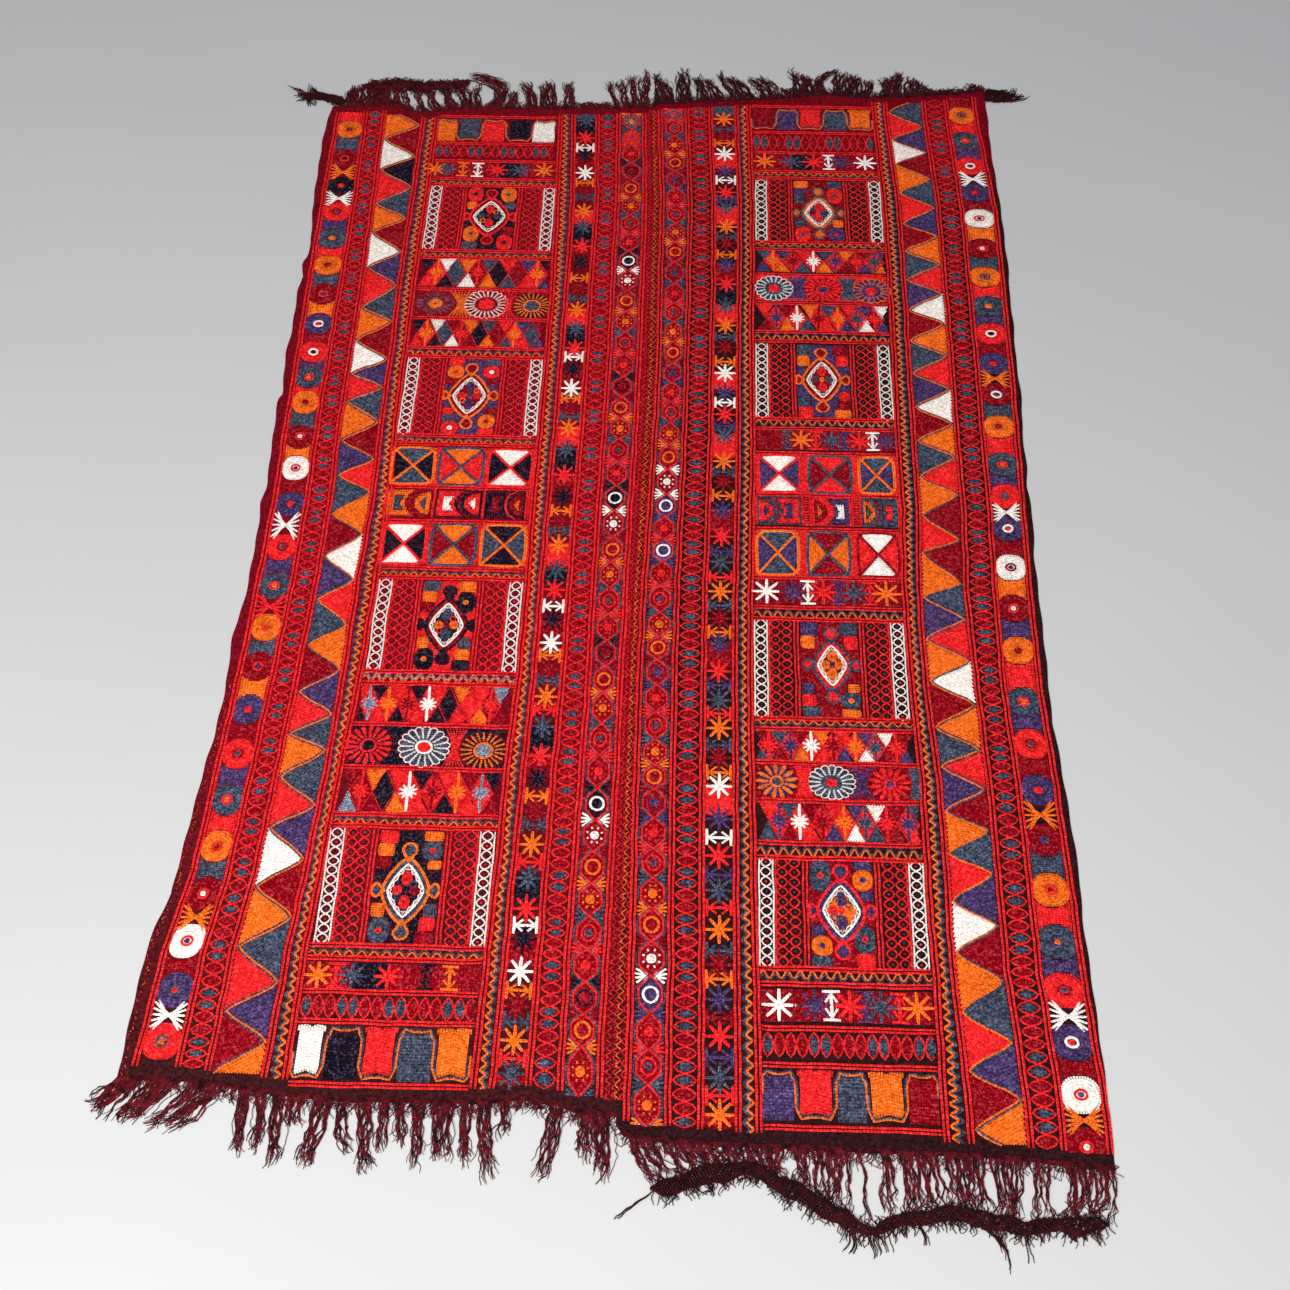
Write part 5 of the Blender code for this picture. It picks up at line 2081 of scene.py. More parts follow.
STARS_G = (
    "1125*S 1065*R 1030HW 1005*N 945*W 912HO 890*M 865HS 820*O 770*S 708*R 660*N 610HO 580*M 548HS 515*O "
    "462*S 405*R 380HW 345*N 293*W 265HO 240*M 215HS 185*O 130*S 65*R 10*N -25HO -50*M -75HS -108*O -168*S "
    "-212*R -250HW -280*N -332*W -360HO -390*M -415HS -448*O -475HR -510*S -570*R -615*N -650HO -680*M "
    "-705HS -742*O -775HR -805*S -860*R -890HW -915*N -970*W -1003HO -1030*M -1055HS -1085*O -1115HR "
    "-1140*S"
)
STARS_L = (
    "1140*O 1105HS 1080*M 1055HO 1018*W 960*I 930HW 890*R 865HI 840*S 778*O 745HS 725*M 690HO 660*I 600*R "
    "535*S 478*O 445HS 415*M 375HO 343*W 290*I 262HW 230*R 200HI 175*S 108*O 80HS 55*M 20HO -15*I -80*R "
    "-115HI -140*S -175HR -208*O -240HS -270*M -300HO -325*I -385*R -415HI -447*S -475HR -505*O -540HS "
    "-565*M -595HO -622*W -685*I -720HW -755*R -790HI -818*S -850HR -888*O -925HS -950*M -975HO -1008*I "
    "-1040HM -1070*R -1105HI -1137*S -1165HR -1195*O"
)
ROOMS_I = (
    "1125fOS/S 1072dSR/R 1012fRM/N 955rNM/M 897rOM/O 840fOM/S 783dSM/R 722fRM/N 668rWN/W 605fWM/M 545rOM/O "
    "482fOM/S 425dSM/R 358fRM/N 300rNM/M 243rOM/O 188fOM/S 132dSM/R 72fRM/N 10rWN/W -55fWM/M -115rOM/O "
    "-176fOM/S -235dSM/R -297fRM/N -352rNM/M -405rOM/O -470fOM/S -533dSM/R -598fRM/N -663rWN/W -722fWM/M "
    "-782rOM/O -840fOM/S -900dSM/R -958fRM/N -1012rNM/M -1065rOM/O -1120fOM/S"
)
ROOMS_J = (
    "1155fRS/R 1110dSM/S 1045fOM/O 985rOM/M 930fIM/I 872fRM/R 818dSM/S 757fOM/O 698rOM/M 630fIM/I 570fRM/R "
    "512dSM/S 460fOM/O 398rOM/M 338fIM/I 290fRM/R 232dSM/S 178fOM/O 117rOM/W 50fWM/W -7rWI/I -62fRM/R "
    "-115rWI/I -168fRM/R -228dSM/S -288fOM/O -335rOM/M -392fIM/I -445fRM/R -502dSM/S -560fOM/O -603rOM/M "
    "-655fIM/I -715fRM/R -772dSM/S -825fOM/O -885rOM/M -940fWM/W -1003rWI/I -1067fRM/R -1122dSM/S "
    "-1180fOM/O"
)


def columns() -> list[Column]:
    """Every narrow strip, from left to right."""
    pairs = list(zip(LINES, LINES[1:]))
    return [
        EyeColumn("eyes_left", *pairs[0], EYES_LEFT),
        LatticeColumn("lattice_outer_left", *pairs[1], LATTICE_B),
        TriangleColumn("teeth_left", *pairs[2], TEETH_C),
        WavyColumn("wave_outer_left", *pairs[3]),
        WavyColumn("wave_inner_left", *pairs[5], orange_right=False),
        StarColumn("stars_left", *pairs[6], STARS_G),
        LatticeColumn("lattice_inner_left", *pairs[7], LATTICE_H),
        HexColumn("rooms_left", *pairs[8], ROOMS_I),
        Seam("joining_stitch", *pairs[9]),
        HexColumn("rooms_right", *pairs[10], ROOMS_J, first_fan="R"),
        LatticeColumn("lattice_inner_right", *pairs[11], LATTICE_K),
        StarColumn("stars_right", *pairs[12], STARS_L),
        WavyColumn("wave_inner_right", *pairs[13], period=20.0),
        WavyColumn("wave_outer_right", *pairs[15], orange_right=False),
        TriangleColumn("teeth_right", *pairs[16], TEETH_P, slate_left=False),
        LatticeColumn("lattice_outer_right", *pairs[17], LATTICE_Q),
        EyeColumn("eyes_right", *pairs[18], EYES_RIGHT),
    ]


# Edges of the cloth, in plan millimetres: selvedges and seam as (y, x), woven ends as (x, y).
LEFT_SELVEDGE = table(
    "-1170 -740 -1050 -740 -950 -737 -900 -730 -850 -717 -800 -715 -700 -710 -600 -705 -550 -700 -450 "
    "-697 -360 -702 -330 -704 -250 -695 -80 -697 -20 -702 20 -697 100 -702 220 -708 246 -710 262 -703 "
    "350 -711 370 -713 440 -710 560 -715 600 -711 640 -717 660 -710 700 -708 800 -718 850 -722 1050 "
    "-729 1100 -728 1175 -721"
)
RIGHT_SELVEDGE = table(
    "-1265 722 -1150 724 -950 722 -850 720 -770 724 -650 720 -500 714 -480 711 -350 714 -250 715 -100 "
    "716 -60 720 -30 722 20 721 60 719 100 723 200 723 280 730 400 729 500 733 600 733 650 738 700 "
    "737 850 738 1050 733 1150 735 1265 735"
)
SEAM = table(
    "-1240 2 -1150 0 -950 -2 -600 -4 -200 -2 0 2 400 6 850 4 1150 -10 1200 -11"
)
TOP_LEFT_END = table(
    "-722 1160 -650 1168 -600 1172 -530 1150 -500 1150 -450 1165 -300 1168 -150 1172 -8 1180"
)
TOP_RIGHT_END = table(
    "-12 1191 100 1205 200 1215 300 1225 380 1240 450 1230 550 1235 620 1245 680 1250 736 1266"
)
BOTTOM_LEFT_END = table(
    "-741 -1165 -650 -1165 -560 -1175 -480 -1185 -400 -1190 -200 -1188 -130 -1180 -80 -1190 -50 -1200 "
    "2 -1202"
)
BOTTOM_RIGHT_END = table(
    "0 -1212 14 -1232 50 -1238 150 -1243 300 -1245 450 -1248 550 -1250 650 -1258 724 -1262"
)
# Headings as (x, near edge, far edge).
TOP_HEADING = table(
    "-662 1226 1236 -645 1224 1246 -600 1226 1256 -560 1225 1255 -520 1223 1250 -480 1225 1252 -450 "
    "1228 1256 -430 1236 1262 -420 1243 1256",
    3,
)
BOTTOM_HEADING = table(
    "52 -1304 -1316 66 -1296 -1321 90 -1287 -1317 120 -1279 -1309 150 -1266 -1300 185 -1264 -1288 212 "
    "-1271 -1294 240 -1284 -1314 275 -1300 -1330 305 -1318 -1347 335 -1334 -1363 352 -1351 -1368 370 "
    "-1354 -1370 392 -1341 -1362 425 -1333 -1354 465 -1323 -1347 505 -1322 -1347 545 -1333 -1361 585 "
    "-1340 -1362 625 -1336 -1359 660 -1330 -1360 690 -1334 -1355 704 -1339 -1350",
    3,
)


@dataclass(frozen=True)
class Lock:
    """A lock of fringe: its roots, first and last tip, bows and how many cords it had."""

    root_a: float
    root_b: float
    tip_a: Point
    tip_b: Point
    bow_a: float
    bow_b: float
    count: int


def read_locks(rows: str) -> list[Lock]:
    """Read locks written as nine numbers each, one lock to a line."""
    locks = []
    for row in rows.strip().splitlines():
        v = [float(word) for word in row.split()]
        locks.append(Lock(v[0], v[1], (v[2], v[3]), (v[4], v[5]), v[6], v[7], int(v[8])))
    return locks


TOP_LEFT_LOCKS = """
-690 -654 -692 1236 -662 1256 -5 2 7
-650 -600 -652 1256 -600 1250 0 0 7
-648 -548 -642 1226 -572 1228 0 3 10
-515 -506 -546 1226 -536 1226 -8 -8 2
-496 -472 -526 1226 -508 1226 -4 -4 3
-464 -442 -492 1228 -470 1230 -3 -3 3
-434 -410 -458 1232 -432 1240 4 4 4
-398 -390 -414 1240 -404 1264 -4 -2 2
-382 -352 -426 1300 -424 1314 40 52 4
-336 -318 -326 1232 -316 1236 2 2 3
-290 -267 -310 1266 -296 1270 6 6 3
-257 -219 -264 1262 -234 1282 0 0 5
-209 -180 -208 1268 -190 1278 0 0 3
-172 -102 -168 1198 -104 1188 0 0 6
-90 -82 -122 1276 -112 1286 0 0 2
-74 -18 -96 1284 -18 1330 0 0 7
"""
TOP_RIGHT_LOCKS = """
-6 40 -10 1326 26 1276 0 0 6
48 80 42 1300 64 1346 0 0 4
88 156 76 1304 112 1290 4 4 6
164 222 126 1318 172 1300 4 4 6
232 282 196 1304 236 1314 5 5 5
294 308 276 1264 300 1262 0 0 3
306 356 302 1338 350 1300 0 0 8
366 384 372 1310 412 1342 -16 -22 4
396 474 404 1345 482 1296 -3 6 12
500 548 506 1300 560 1334 4 -4 9
550 612 566 1330 612 1262 0 8 9
618 688 620 1260 690 1268 0 0 6
698 726 704 1296 724 1284 0 0 3
"""
BOTTOM_LEFT_LOCKS = """
-736 -702 -786 -1190 -758 -1240 0 0 6
-690 -642 -746 -1244 -718 -1238 0 4 6
-630 -580 -702 -1240 -650 -1252 6 8 6
-566 -566 -568 -1208 -568 -1208 0 0 1
-556 -538 -552 -1292 -540 -1288 0 0 3
-530 -516 -520 -1280 -510 -1290 0 0 3
-507 -490 -502 -1302 -484 -1292 0 0 3
-481 -456 -478 -1238 -462 -1230 -4 0 3
-444 -416 -462 -1298 -440 -1300 2 4 4
-406 -392 -388 -1284 -374 -1280 -8 -8 2
-382 -356 -364 -1326 -350 -1304 0 0 3
-346 -332 -343 -1280 -332 -1275 0 0 2
-322 -310 -316 -1266 -304 -1270 0 0 2
-300 -280 -290 -1302 -276 -1300 0 0 3
-270 -236 -262 -1278 -242 -1292 0 0 4
-226 -213 -224 -1290 -208 -1292 0 0 3
-203 -182 -182 -1318 -168 -1312 -4 -4 3
-171 -158 -168 -1252 -158 -1242 0 0 2
-148 -106 -148 -1196 -106 -1194 0 0 4
-96 -76 -120 -1302 -102 -1324 3 5 3
-52 -8 -56 -1264 0 -1330 0 0 7
"""
BOTTOM_RIGHT_LOCKS = """
18 58 66 -1297 94 -1288 -10 -4 5
68 146 102 -1287 164 -1268 0 0 9
157 246 172 -1266 254 -1296 0 0 9
257 342 264 -1298 336 -1338 0 0 9
355 355 368 -1306 368 -1306 0 0 1
388 402 387 -1346 403 -1340 0 0 2
413 466 418 -1338 478 -1326 0 0 7
477 532 488 -1324 541 -1336 0 0 7
543 592 552 -1338 580 -1342 0 0 5
606 628 594 -1342 622 -1340 0 0 2
646 716 640 -1336 698 -1340 6 12 8
"""
HEADING_ENDS = """
58 58 8 -1356 8 -1356 0 0 1
338 346 330 -1390 345 -1396 -4 -4 2
362 390 366 -1402 392 -1390 0 0 2
432 432 448 -1380 448 -1380 0 0 1
520 548 548 -1374 562 -1415 0 8 2
588 588 584 -1400 584 -1400 0 0 1
644 644 646 -1369 646 -1369 0 0 1
"""
# Corner tails: each strand's path, from the cloth outwards (mm).
TAIL_STRANDS = {
    "corner_tail_top_left": (
        table("-700 1172 -722 1182 -748 1192 -772 1196 -786 1186 -779 1162"),
        table("-704 1177 -730 1190 -756 1196 -782 1192 -808 1180"),
        table("-700 1170 -724 1176 -752 1188 -778 1200 -806 1206 -832 1230"),
        table("-708 1184 -734 1196 -760 1200 -780 1210 -790 1234"),
        table("-712 1178 -738 1186 -764 1196 -790 1196 -812 1194"),
    ),
    "corner_tail_top_right": (
        table("738 1236 756 1230 778 1226 802 1226 832 1237"),
        table("738 1228 760 1222 784 1226 800 1238 806 1268"),
        table("738 1244 758 1246 782 1244 806 1244 820 1243"),
        table("738 1250 752 1254 764 1252 780 1256 794 1258"),
        table("738 1240 748 1252 745 1268"),
    ),
}


@dataclass
class GroundCloth:
    """One loom width of bare ground wool, under its stitching."""

    name: str
    replaces: str
    left_edge: Sequence[tuple]
    right_edge: Sequence[tuple]
    top_end: Sequence[tuple]
    bottom_end: Sequence[tuple]
    finish: GroundFinish
    seam_side: int

    def outline(self) -> np.ndarray:
        """The cloth's edge, round from the bottom left, with a hand-woven waver."""
        points: list[Point] = []
        low_left = self.corner(self.left_edge, self.bottom_end)
        low_right = self.corner(self.right_edge, self.bottom_end)
        high_left = self.corner(self.left_edge, self.top_end)
        high_right = self.corner(self.right_edge, self.top_end)
        for y in np.linspace(low_left[1], high_left[1], 200)[:-1]:
            waver = 0.9 * sin(y / 13.0) * (self.seam_side < 0)
            points.append((float(read_table(self.left_edge, y)) + waver, y))
        for x in np.linspace(high_left[0], high_right[0], 64)[:-1]:
            points.append((x, float(read_table(self.top_end, x)) + 0.8 * sin(x / 9.0)))
        for y in np.linspace(high_right[1], low_right[1], 200)[:-1]:
            waver = 0.9 * sin(y / 15.0) * (self.seam_side > 0)
            points.append((float(read_table(self.right_edge, y)) + waver, y))
        for x in np.linspace(low_right[0], low_left[0], 64)[:-1]:
            points.append((x, float(read_table(self.bottom_end, x)) - 0.8 * sin(x / 11.0)))
        return np.array(points)

    def corner(self, edge: Sequence[tuple], end: Sequence[tuple]) -> Point:
        """Where a side meets an end."""
        y = end[0][1]
        for _ in range(3):
            x = float(read_table(edge, y))
            y = float(read_table(end, x))
        return x, y

    def build(self) -> bpy.types.Object:
        """Make the cloth, a closed flat slab."""
        edge = plan_to_world(self.outline())
        count = len(edge)
        spots = [(x, y, z) for z in (0.0, Station.GROUND_TOP.value * MM) for x, y in edge.tolist()]
        faces = [tuple(range(count)), tuple(range(count, 2 * count))]
        for k in range(count):
            after = (k + 1) % count
            faces.append((k, after, count + after, count + k))
        mesh = bpy.data.meshes.new(self.name)
        mesh.from_pydata(spots, [], faces)
        shape = bmesh.new()
        shape.from_mesh(mesh)
        bmesh.ops.recalc_face_normals(shape, faces=shape.faces)
        bmesh.ops.triangulate(shape, faces=shape.faces)
        shape.to_mesh(mesh)
        shape.free()
        mesh.materials.append(self.finish.build())
        lay_bake_map(mesh)
        return stand(self.name, mesh)


@dataclass
class YarnBed:
    """Charted loose yarns that become one piece."""

    name: str
    paths: list[np.ndarray] = field(default_factory=list)
    swells: list[np.ndarray] = field(default_factory=list)
    curls: list[float] = field(default_factory=list)

    def add(self, path: np.ndarray, swell: np.ndarray, curl: float) -> None:
        """Chart one yarn.

        Args:
            path: its points as (x, y, z) on the plan, in millimetres.
            swell: its thickness at each point, as a share of the tree's radius.
            curl: where in the noise its crinkle is read.
        """
        self.paths.append(path)
        self.swells.append(swell)
        self.curls.append(curl)

    def skeleton(self) -> bpy.types.Object:
        """The charted yarns as edges that carry their swell and curl."""
        swells = np.concatenate(self.swells).astype(np.float32)
        curls = np.repeat(self.curls, [len(path) for path in self.paths]).astype(np.float32)
        return skeleton_of(self.name, self.paths, {"swell": swells, "curl": curls})


@dataclass
class Fringe:
    """The loose warp ends of one cloth end."""

    name: str
    end: Sequence[tuple]
    locks: str
    side: int
    heading: Sequence[tuple] = ()
    yarns: int = 6
    steps: int = 13
    stub_pitch: float = 1.5
    crowd: float = 1.45

    def build(self) -> YarnBed:
        """Chart every rope of every lock, then the short broken yarns at the cloth's edge."""
        bed = YarnBed(self.name)
        rng = random.Random(SEED + len(self.name) * 7 + self.side)
        for lock in read_locks(self.locks):
            ropes = max(1, round(lock.count * self.crowd))
            for k in range(ropes):
                self.rope(bed, lock, (k + 0.5) / ropes, 0.5 / ropes, rng)
        for x in np.arange(self.end[0][0] + 3, self.end[-1][0] - 2, self.stub_pitch):
            y = float(read_table(self.end, x)) - self.side * 6
            t = np.linspace(0, 1, 6)
            curl = np.column_stack((np.sin(t * rng.uniform(3, 9)), 0.4 * np.sin(t * rng.uniform(3, 9))))
            lean = np.array((rng.uniform(-9, 9), self.side * rng.uniform(10, 30)))
            path = np.array((x, y)) + t[:, None] * lean
            height = 1.9 + 0.9 * np.sin(pi * t) - 0.6 * t
            path = path + curl * rng.uniform(2, 7)
            bed.add(np.column_stack((path, height)), np.linspace(0.9, 0.5, 6), rng.uniform(0, 9))
        return bed

    def rope(self, bed: YarnBed, lock: Lock, share: float, half: float, rng: random.Random) -> None:
        """Chart one rope of a lock: yarns that gather below their roots and part at the tip.

        Args:
            bed: where the yarns go.
            lock: the lock it belongs to.
            share: how far across the lock its middle roots.
            half: half the share of the lock that it takes.
            rng: the seeded source of its unevenness.
        """
        root_x = lock.root_a + (lock.root_b - lock.root_a) * share
        tip_share = min(1.0, max(0.0, share + rng.uniform(-0.14, 0.14)))
        tip = np.array(lock.tip_a) * (1 - tip_share) + np.array(lock.tip_b) * tip_share
        root = np.array((root_x, float(read_table(self.end, root_x)) - self.side * 2.5))
        tip = root + (tip - root) * rng.uniform(0.78, 1.0)
        held = self.heading and self.heading[0][0] <= tip[0] <= self.heading[-1][0] and abs(lock.bow_a) < 30
        if held and rng.random() < 0.85:
            tip[1] = float(read_table(self.heading, tip[0])) + self.side * 6
        chord = tip - root
        length = hypot(*chord)
        across = np.array((chord[1], -chord[0])) * self.side / length
        bow = lock.bow_a + (lock.bow_b - lock.bow_a) * share
        middle = (root + tip) / 2 + 2 * bow * across
        t = np.linspace(0, 1, self.steps + (6 if abs(bow) > 14 else 0))
        s = t[:, None]
        spine = (1 - s) ** 2 * root + 2 * s * (1 - s) * middle + s * s * tip
        swing = rng.uniform(1.0, 4.0)
        sway = swing * np.sin(t * length / rng.uniform(9, 17) + rng.uniform(0, 6)) * np.sqrt(t)
        reach = max(3.0, (lock.root_b - lock.root_a) * half)
        curl = rng.uniform(0, 9)
        for _ in range(self.yarns):
            start = rng.uniform(-1.2, 1.2) * reach
            part = rng.uniform(-9, 9)
            turn = rng.uniform(0, 2 * pi)
            wind = turn + t * length / 11
            shift = sway + start * (1 - t) ** 2 + part * t ** 4 + 1.6 * np.cos(wind)
            stop = rng.uniform(0.82, 1.0)
            path = root + (spine - root) * stop + across * shift[:, None]
            height = np.maximum(2.3 + 1.3 * np.sin(wind) - 0.7 * t, 0.9)
            swell = rng.uniform(0.7, 1.1) * (1 - 0.45 * t ** 3)
            bed.add(np.column_stack((path, height)), swell, curl + rng.uniform(-0.006, 0.006))
        if rng.random() < 0.6 and not held:
            drift = rng.uniform(-16, 16) * np.sin(pi * t) + rng.uniform(-8, 8) * t
            stray = root + (spine + across * drift[:, None] - root) * 0.9
            bed.add(np.column_stack((stray, 3.4 - 1.6 * t)), 0.7 - 0.1 * t, rng.uniform(0, 9))


@dataclass
class Heading:
    """A twined heading: plied strands wound about each other, with broken hairs."""

    name: str
    rows: Sequence[tuple]
    side: int
    ends: str = ""
    plies: int = 9
    turn: float = 38.0
    hairs: int = 520

    def build(self) -> YarnBed:
        """Chart the plies, the hairs along both edges and the loose ends."""
        bed = YarnBed(self.name)
        rng = random.Random(SEED + len(self.name))
        xs = np.arange(self.rows[0][0] + 2, self.rows[-1][0] - 1, 4.0)
        near = read_table(self.rows, xs, 1)
        far = read_table(self.rows, xs, 2)
        middle = (near + far) / 2
        half = np.abs(far - near) / 2 - 2.4
        for k in range(self.plies):
            phase = 2 * pi * k / self.plies
            wind = xs / self.turn * 2 * pi + phase
            lump = 1 + 0.22 * np.sin(xs / 13.0 + phase) + 0.14 * np.sin(xs / 5.3 + 2 * phase)
            lump = lump * np.clip(np.minimum(xs - xs[0], xs[-1] - xs) / 20 + 0.3, 0, 1)
            z = 3.9 + 2.0 * np.sin(wind)
            path = np.column_stack((xs, middle + half * lump * np.cos(wind), z))
            bed.add(path, 1.25 + 0.5 * lump, k * 1.7)
        for _ in range(self.hairs):
            x = rng.uniform(xs[0] + 2, xs[-1] - 2)
            edge = float(np.interp(x, xs, near if rng.random() < 0.4 else far))
            outward = 1 if edge > float(np.interp(x, xs, middle)) else -1
            reach = 3 + 15 * rng.random() ** 2
            t = np.linspace(0, 1, 7)
            bend = rng.uniform(1, 6) * np.sin(t * rng.uniform(2, 7) + rng.uniform(0, 6))
            along = x + rng.uniform(-12, 12) * t + bend
            out = edge + outward * (reach * t * (1.3 - 0.3 * t) - 8 * (1 - t))
            height = rng.uniform(3.0, 6.2) * (1 - t) + 1.0
            bed.add(np.column_stack((along, out, height)), np.linspace(1.1, 0.6, 7), rng.uniform(0, 9))
        for lock in read_locks(self.ends) if self.ends else []:
            count = lock.count * 4
            for k in range(count):
                share = k / max(1, count - 1)
                x = lock.root_a + (lock.root_b - lock.root_a) * share
                tip = np.array(lock.tip_a) * (1 - share) + np.array(lock.tip_b) * share
                root = np.array((x, float(read_table(self.rows, x, 2)) + 5.0))
                t = np.linspace(0, 1, 11)
                path = root + (tip - root) * t[:, None]
                path[:, 0] += (4.0 * np.sin(t * 5 + lock.root_a) + rng.uniform(-5, 5)) * t
                bed.add(np.column_stack((path, 3.2 - 2.1 * t)), np.linspace(1.1, 0.6, 11), lock.root_a)
        return bed


@dataclass
class CornerTail:
    """A tail of plied ends bound off at a corner."""

    name: str
    strands: Sequence[Sequence[Point]]
    per_strand: int = 11

    def build(self) -> YarnBed:
        """Chart each strand as a few yarns that part towards its tip."""
        bed = YarnBed(self.name)
        rng = random.Random(SEED + len(self.name) * 3)
        for strand in self.strands:
            line = rounded(strand, 2)
            t = np.linspace(0, 1, len(line))
            for k in range(self.per_strand):
                turn = 2 * pi * (k / self.per_strand + t * 3)
                spread = 7.0 - 2.2 * t + 1.8 * np.sin(t * 9 + k)
                shifted = line + np.column_stack((np.cos(turn), np.sin(turn))) * spread[:, None]
                shifted = line[0] + (shifted - line[0]) * rng.uniform(0.72, 1.0)
                z = 4.2 + 2.2 * np.sin(turn + 1.0) - 1.6 * t
                bed.add(np.column_stack((shifted, z)), 1.8 - 1.0 * t, rng.uniform(0, 9))
        return bed


@dataclass
class Studio:
    """The pale floor, the soft lights and the camera."""

    floor_half: float = 6.0

    def build(self) -> None:
        """Make the floor, the lights, the sky and the camera."""
        self.floor()
        self.light("key_softbox", (-1.1, -3.5, 3.4), (-0.2, -0.4, 0.0), 2.8, 345.0, (1.0, 0.995, 0.98))
        world = bpy.data.worlds.new("studio_sky")
        world.use_nodes = True
        sky = world.node_tree.nodes["Background"]
        sky.inputs["Color"].default_value = (0.93, 0.95, 1.0, 1.0)
        sky.inputs["Strength"].default_value = 0.5
        bpy.context.scene.world = world
        self.camera()
        bpy.context.scene.view_settings.view_transform = "Standard"

    def floor(self) -> None:
        """A wide plain floor just under the cloth."""
        reach = self.floor_half
        mesh = bpy.data.meshes.new("studio_floor")
        corners = [(-reach, -reach, 0), (reach, -reach, 0), (reach, reach, 0), (-reach, reach, 0)]
        mesh.from_pydata(corners, [], [(0, 1, 2, 3)])
        mesh.materials.append(FloorFinish().build())
        stand("studio_floor", mesh)

    def light(self, name: str, at: tuple, aim: tuple, size: float, watts: float, tint: tuple) -> None:
        """A square soft light aimed at a point.

        Args:
            name: the light's name.
            at: where it hangs, in metres.
            aim: the point it faces.
            size: its side in metres.
            watts: its power.
            tint: its colour.
        """
        lamp = bpy.data.lights.new(name, "AREA")
        lamp.size = size
        lamp.energy = watts
        lamp.color = tint
        made = stand(name, lamp)
        made.location = at
        away = Vector(aim) - Vector(at)
        made.rotation_euler = away.to_track_quat("-Z", "Y").to_euler()

    def camera(self) -> None:
        """The camera of the photograph, worked out from the cloth's own corners."""
        lens = bpy.data.cameras.new("photo_camera")
        lens.lens = 52.6
        lens.sensor_width = 36.0
        made = stand("photo_camera", lens)
        made.location = (0.07636, -2.2941, 2.60963)
        made.rotation_euler = (radians(37.45), 0.0, radians(1.663))
        bpy.context.scene.camera = made


def show(piece: bpy.types.Object, slot: str, *nodes: str) -> bpy.types.Object:
    """Ride a finished piece on the cover and report it."""
    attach(piece, "root")
    if nodes:
        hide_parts(*nodes)
    mesh = piece.data
    LOG.info("%s: %d triangles", piece.name, len(mesh.loops) - 2 * len(mesh.polygons))
    return piece


def work_cover() -> tuple[list[bpy.types.Object], list[bpy.types.Object]]:
    """Stitch every strip and field; the left cloth's pieces, then the right one's."""
    wools = {yarn: WOOLS[yarn].build() for yarn in Yarn}
    chain = chain_stitch_tree(wools)
    designs = [
        *columns(),
        LeftField("field_left", LINES[4], LINES[5]),
        RightField("field_right", LINES[14], LINES[15]),
        DoubleLines("double_lines_left", LINES[:10], frayed=True),
        DoubleLines("double_lines_right", LINES[10:]),
    ]
    left: list[bpy.types.Object] = []
    right: list[bpy.types.Object] = []
    for bed in [design.build() for design in designs]:
        piece = show(chain.apply(bed.skeleton()), "embroidered_wool")
        middle = float(np.mean([corner[0] for corner in piece.bound_box]))
        (left if middle < 0 else right).append(piece)
    return left, right


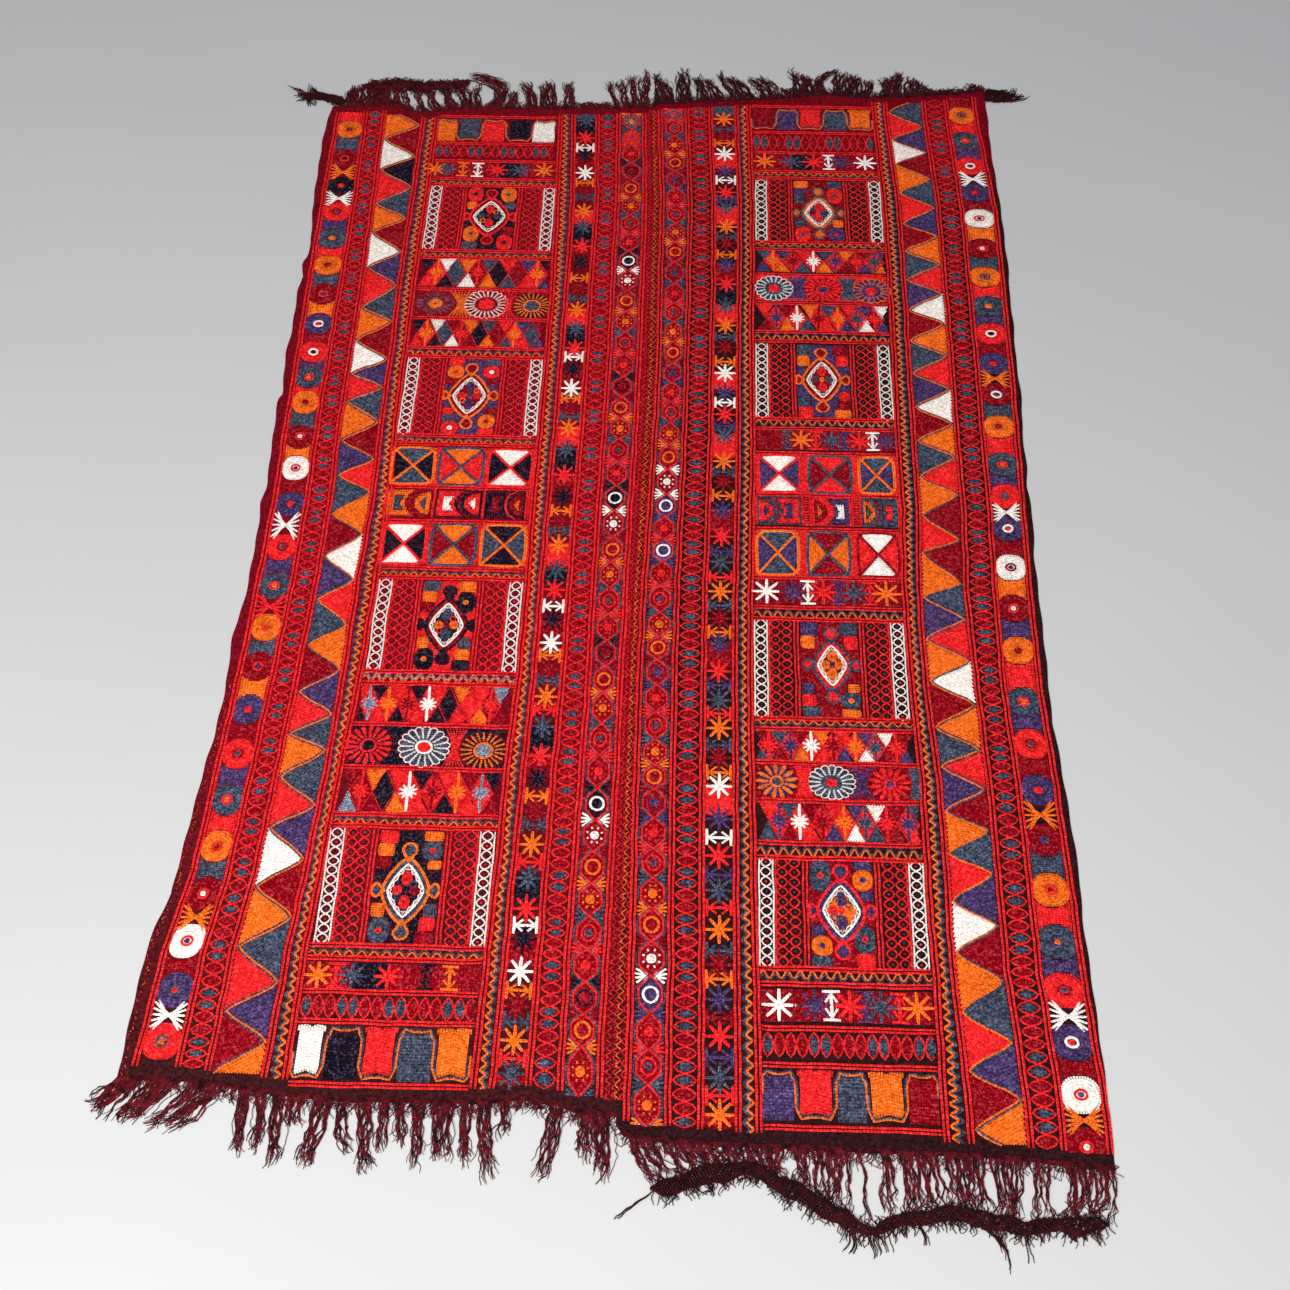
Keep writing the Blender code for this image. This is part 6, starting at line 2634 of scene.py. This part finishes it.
def loosen_ends() -> dict[str, bpy.types.Object]:
    """Make every fringe, heading and tail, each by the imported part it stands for."""
    fringe_tree = loose_yarn_tree(FRINGE_WOOL.build(), "fringe_yarn", 15.0)
    dark_fringe_tree = loose_yarn_tree(DARK_FRINGE_WOOL.build(), "dark_fringe_yarn", 15.0)
    heading_tree = loose_yarn_tree(HEADING_WOOL.build(), "heading_yarn", 7.0)
    dark_tree = loose_yarn_tree(DARK_WOOL.build(), "dark_heading_yarn", 7.0)
    parts = [
        ("warp_", "warp_yarn", fringe_tree, Fringe(
            "warp_fringe_top_left", TOP_LEFT_END, TOP_LEFT_LOCKS, 1, TOP_HEADING, crowd=1.7,
        )),
        ("warp_", "warp_yarn", dark_fringe_tree, Fringe(
            "warp_fringe_top_right", TOP_RIGHT_END, TOP_RIGHT_LOCKS, 1, crowd=1.65,
        )),
        ("warp_", "warp_yarn", fringe_tree, Fringe(
            "warp_fringe_bottom_left", BOTTOM_LEFT_END, BOTTOM_LEFT_LOCKS, -1,
        )),
        ("warp_", "warp_yarn", fringe_tree, Fringe(
            "warp_fringe_bottom_right", BOTTOM_RIGHT_END, BOTTOM_RIGHT_LOCKS, -1, BOTTOM_HEADING,
        )),
        ("twined_", "twined_yarn", heading_tree, Heading("twined_heading_top_left", TOP_HEADING, 1)),
        ("twined_", "twined_yarn", dark_tree, Heading(
            "twined_heading_bottom_right", BOTTOM_HEADING, -1, HEADING_ENDS,
        )),
    ]
    for name, strands in TAIL_STRANDS.items():
        parts.append(("bound_", "twined_yarn", dark_tree, CornerTail(f"bound_{name}", strands)))
    loose = {}
    for kind, slot, tree, part in parts:
        node = part.name.removeprefix(kind)
        loose[node] = show(tree.apply(part.build().skeleton()), slot, node)
    return loose


def main() -> None:
    """Build the studio, the cover's stitching, its loose ends and the cloth under them."""
    logging.basicConfig(level=logging.INFO, format="%(name)s %(message)s")
    Studio().build()
    left_work, right_work = work_cover()
    loose = loosen_ends()
    cloths = (
        (GroundCloth(
            "ground_left", "panel_left", LEFT_SELVEDGE, SEAM, TOP_LEFT_END, BOTTOM_LEFT_END,
            LEFT_GROUND, -1,
        ), left_work, (
            "fringe_top_left", "fringe_bottom_left", "heading_top_left", "corner_tail_top_left",
        )),
        (GroundCloth(
            "ground_right", "panel_right", SEAM, RIGHT_SELVEDGE, TOP_RIGHT_END, BOTTOM_RIGHT_END,
            RIGHT_GROUND, 1,
        ), right_work, (
            "fringe_top_right", "fringe_bottom_right", "heading_bottom_right", "corner_tail_top_right",
        )),
    )
    for cloth, work, ends in cloths:
        piece = show(cloth.build(), "embroidered_wool", cloth.replaces)
        outline = cloth.outline() * MM


if __name__ == "__main__":
    main()
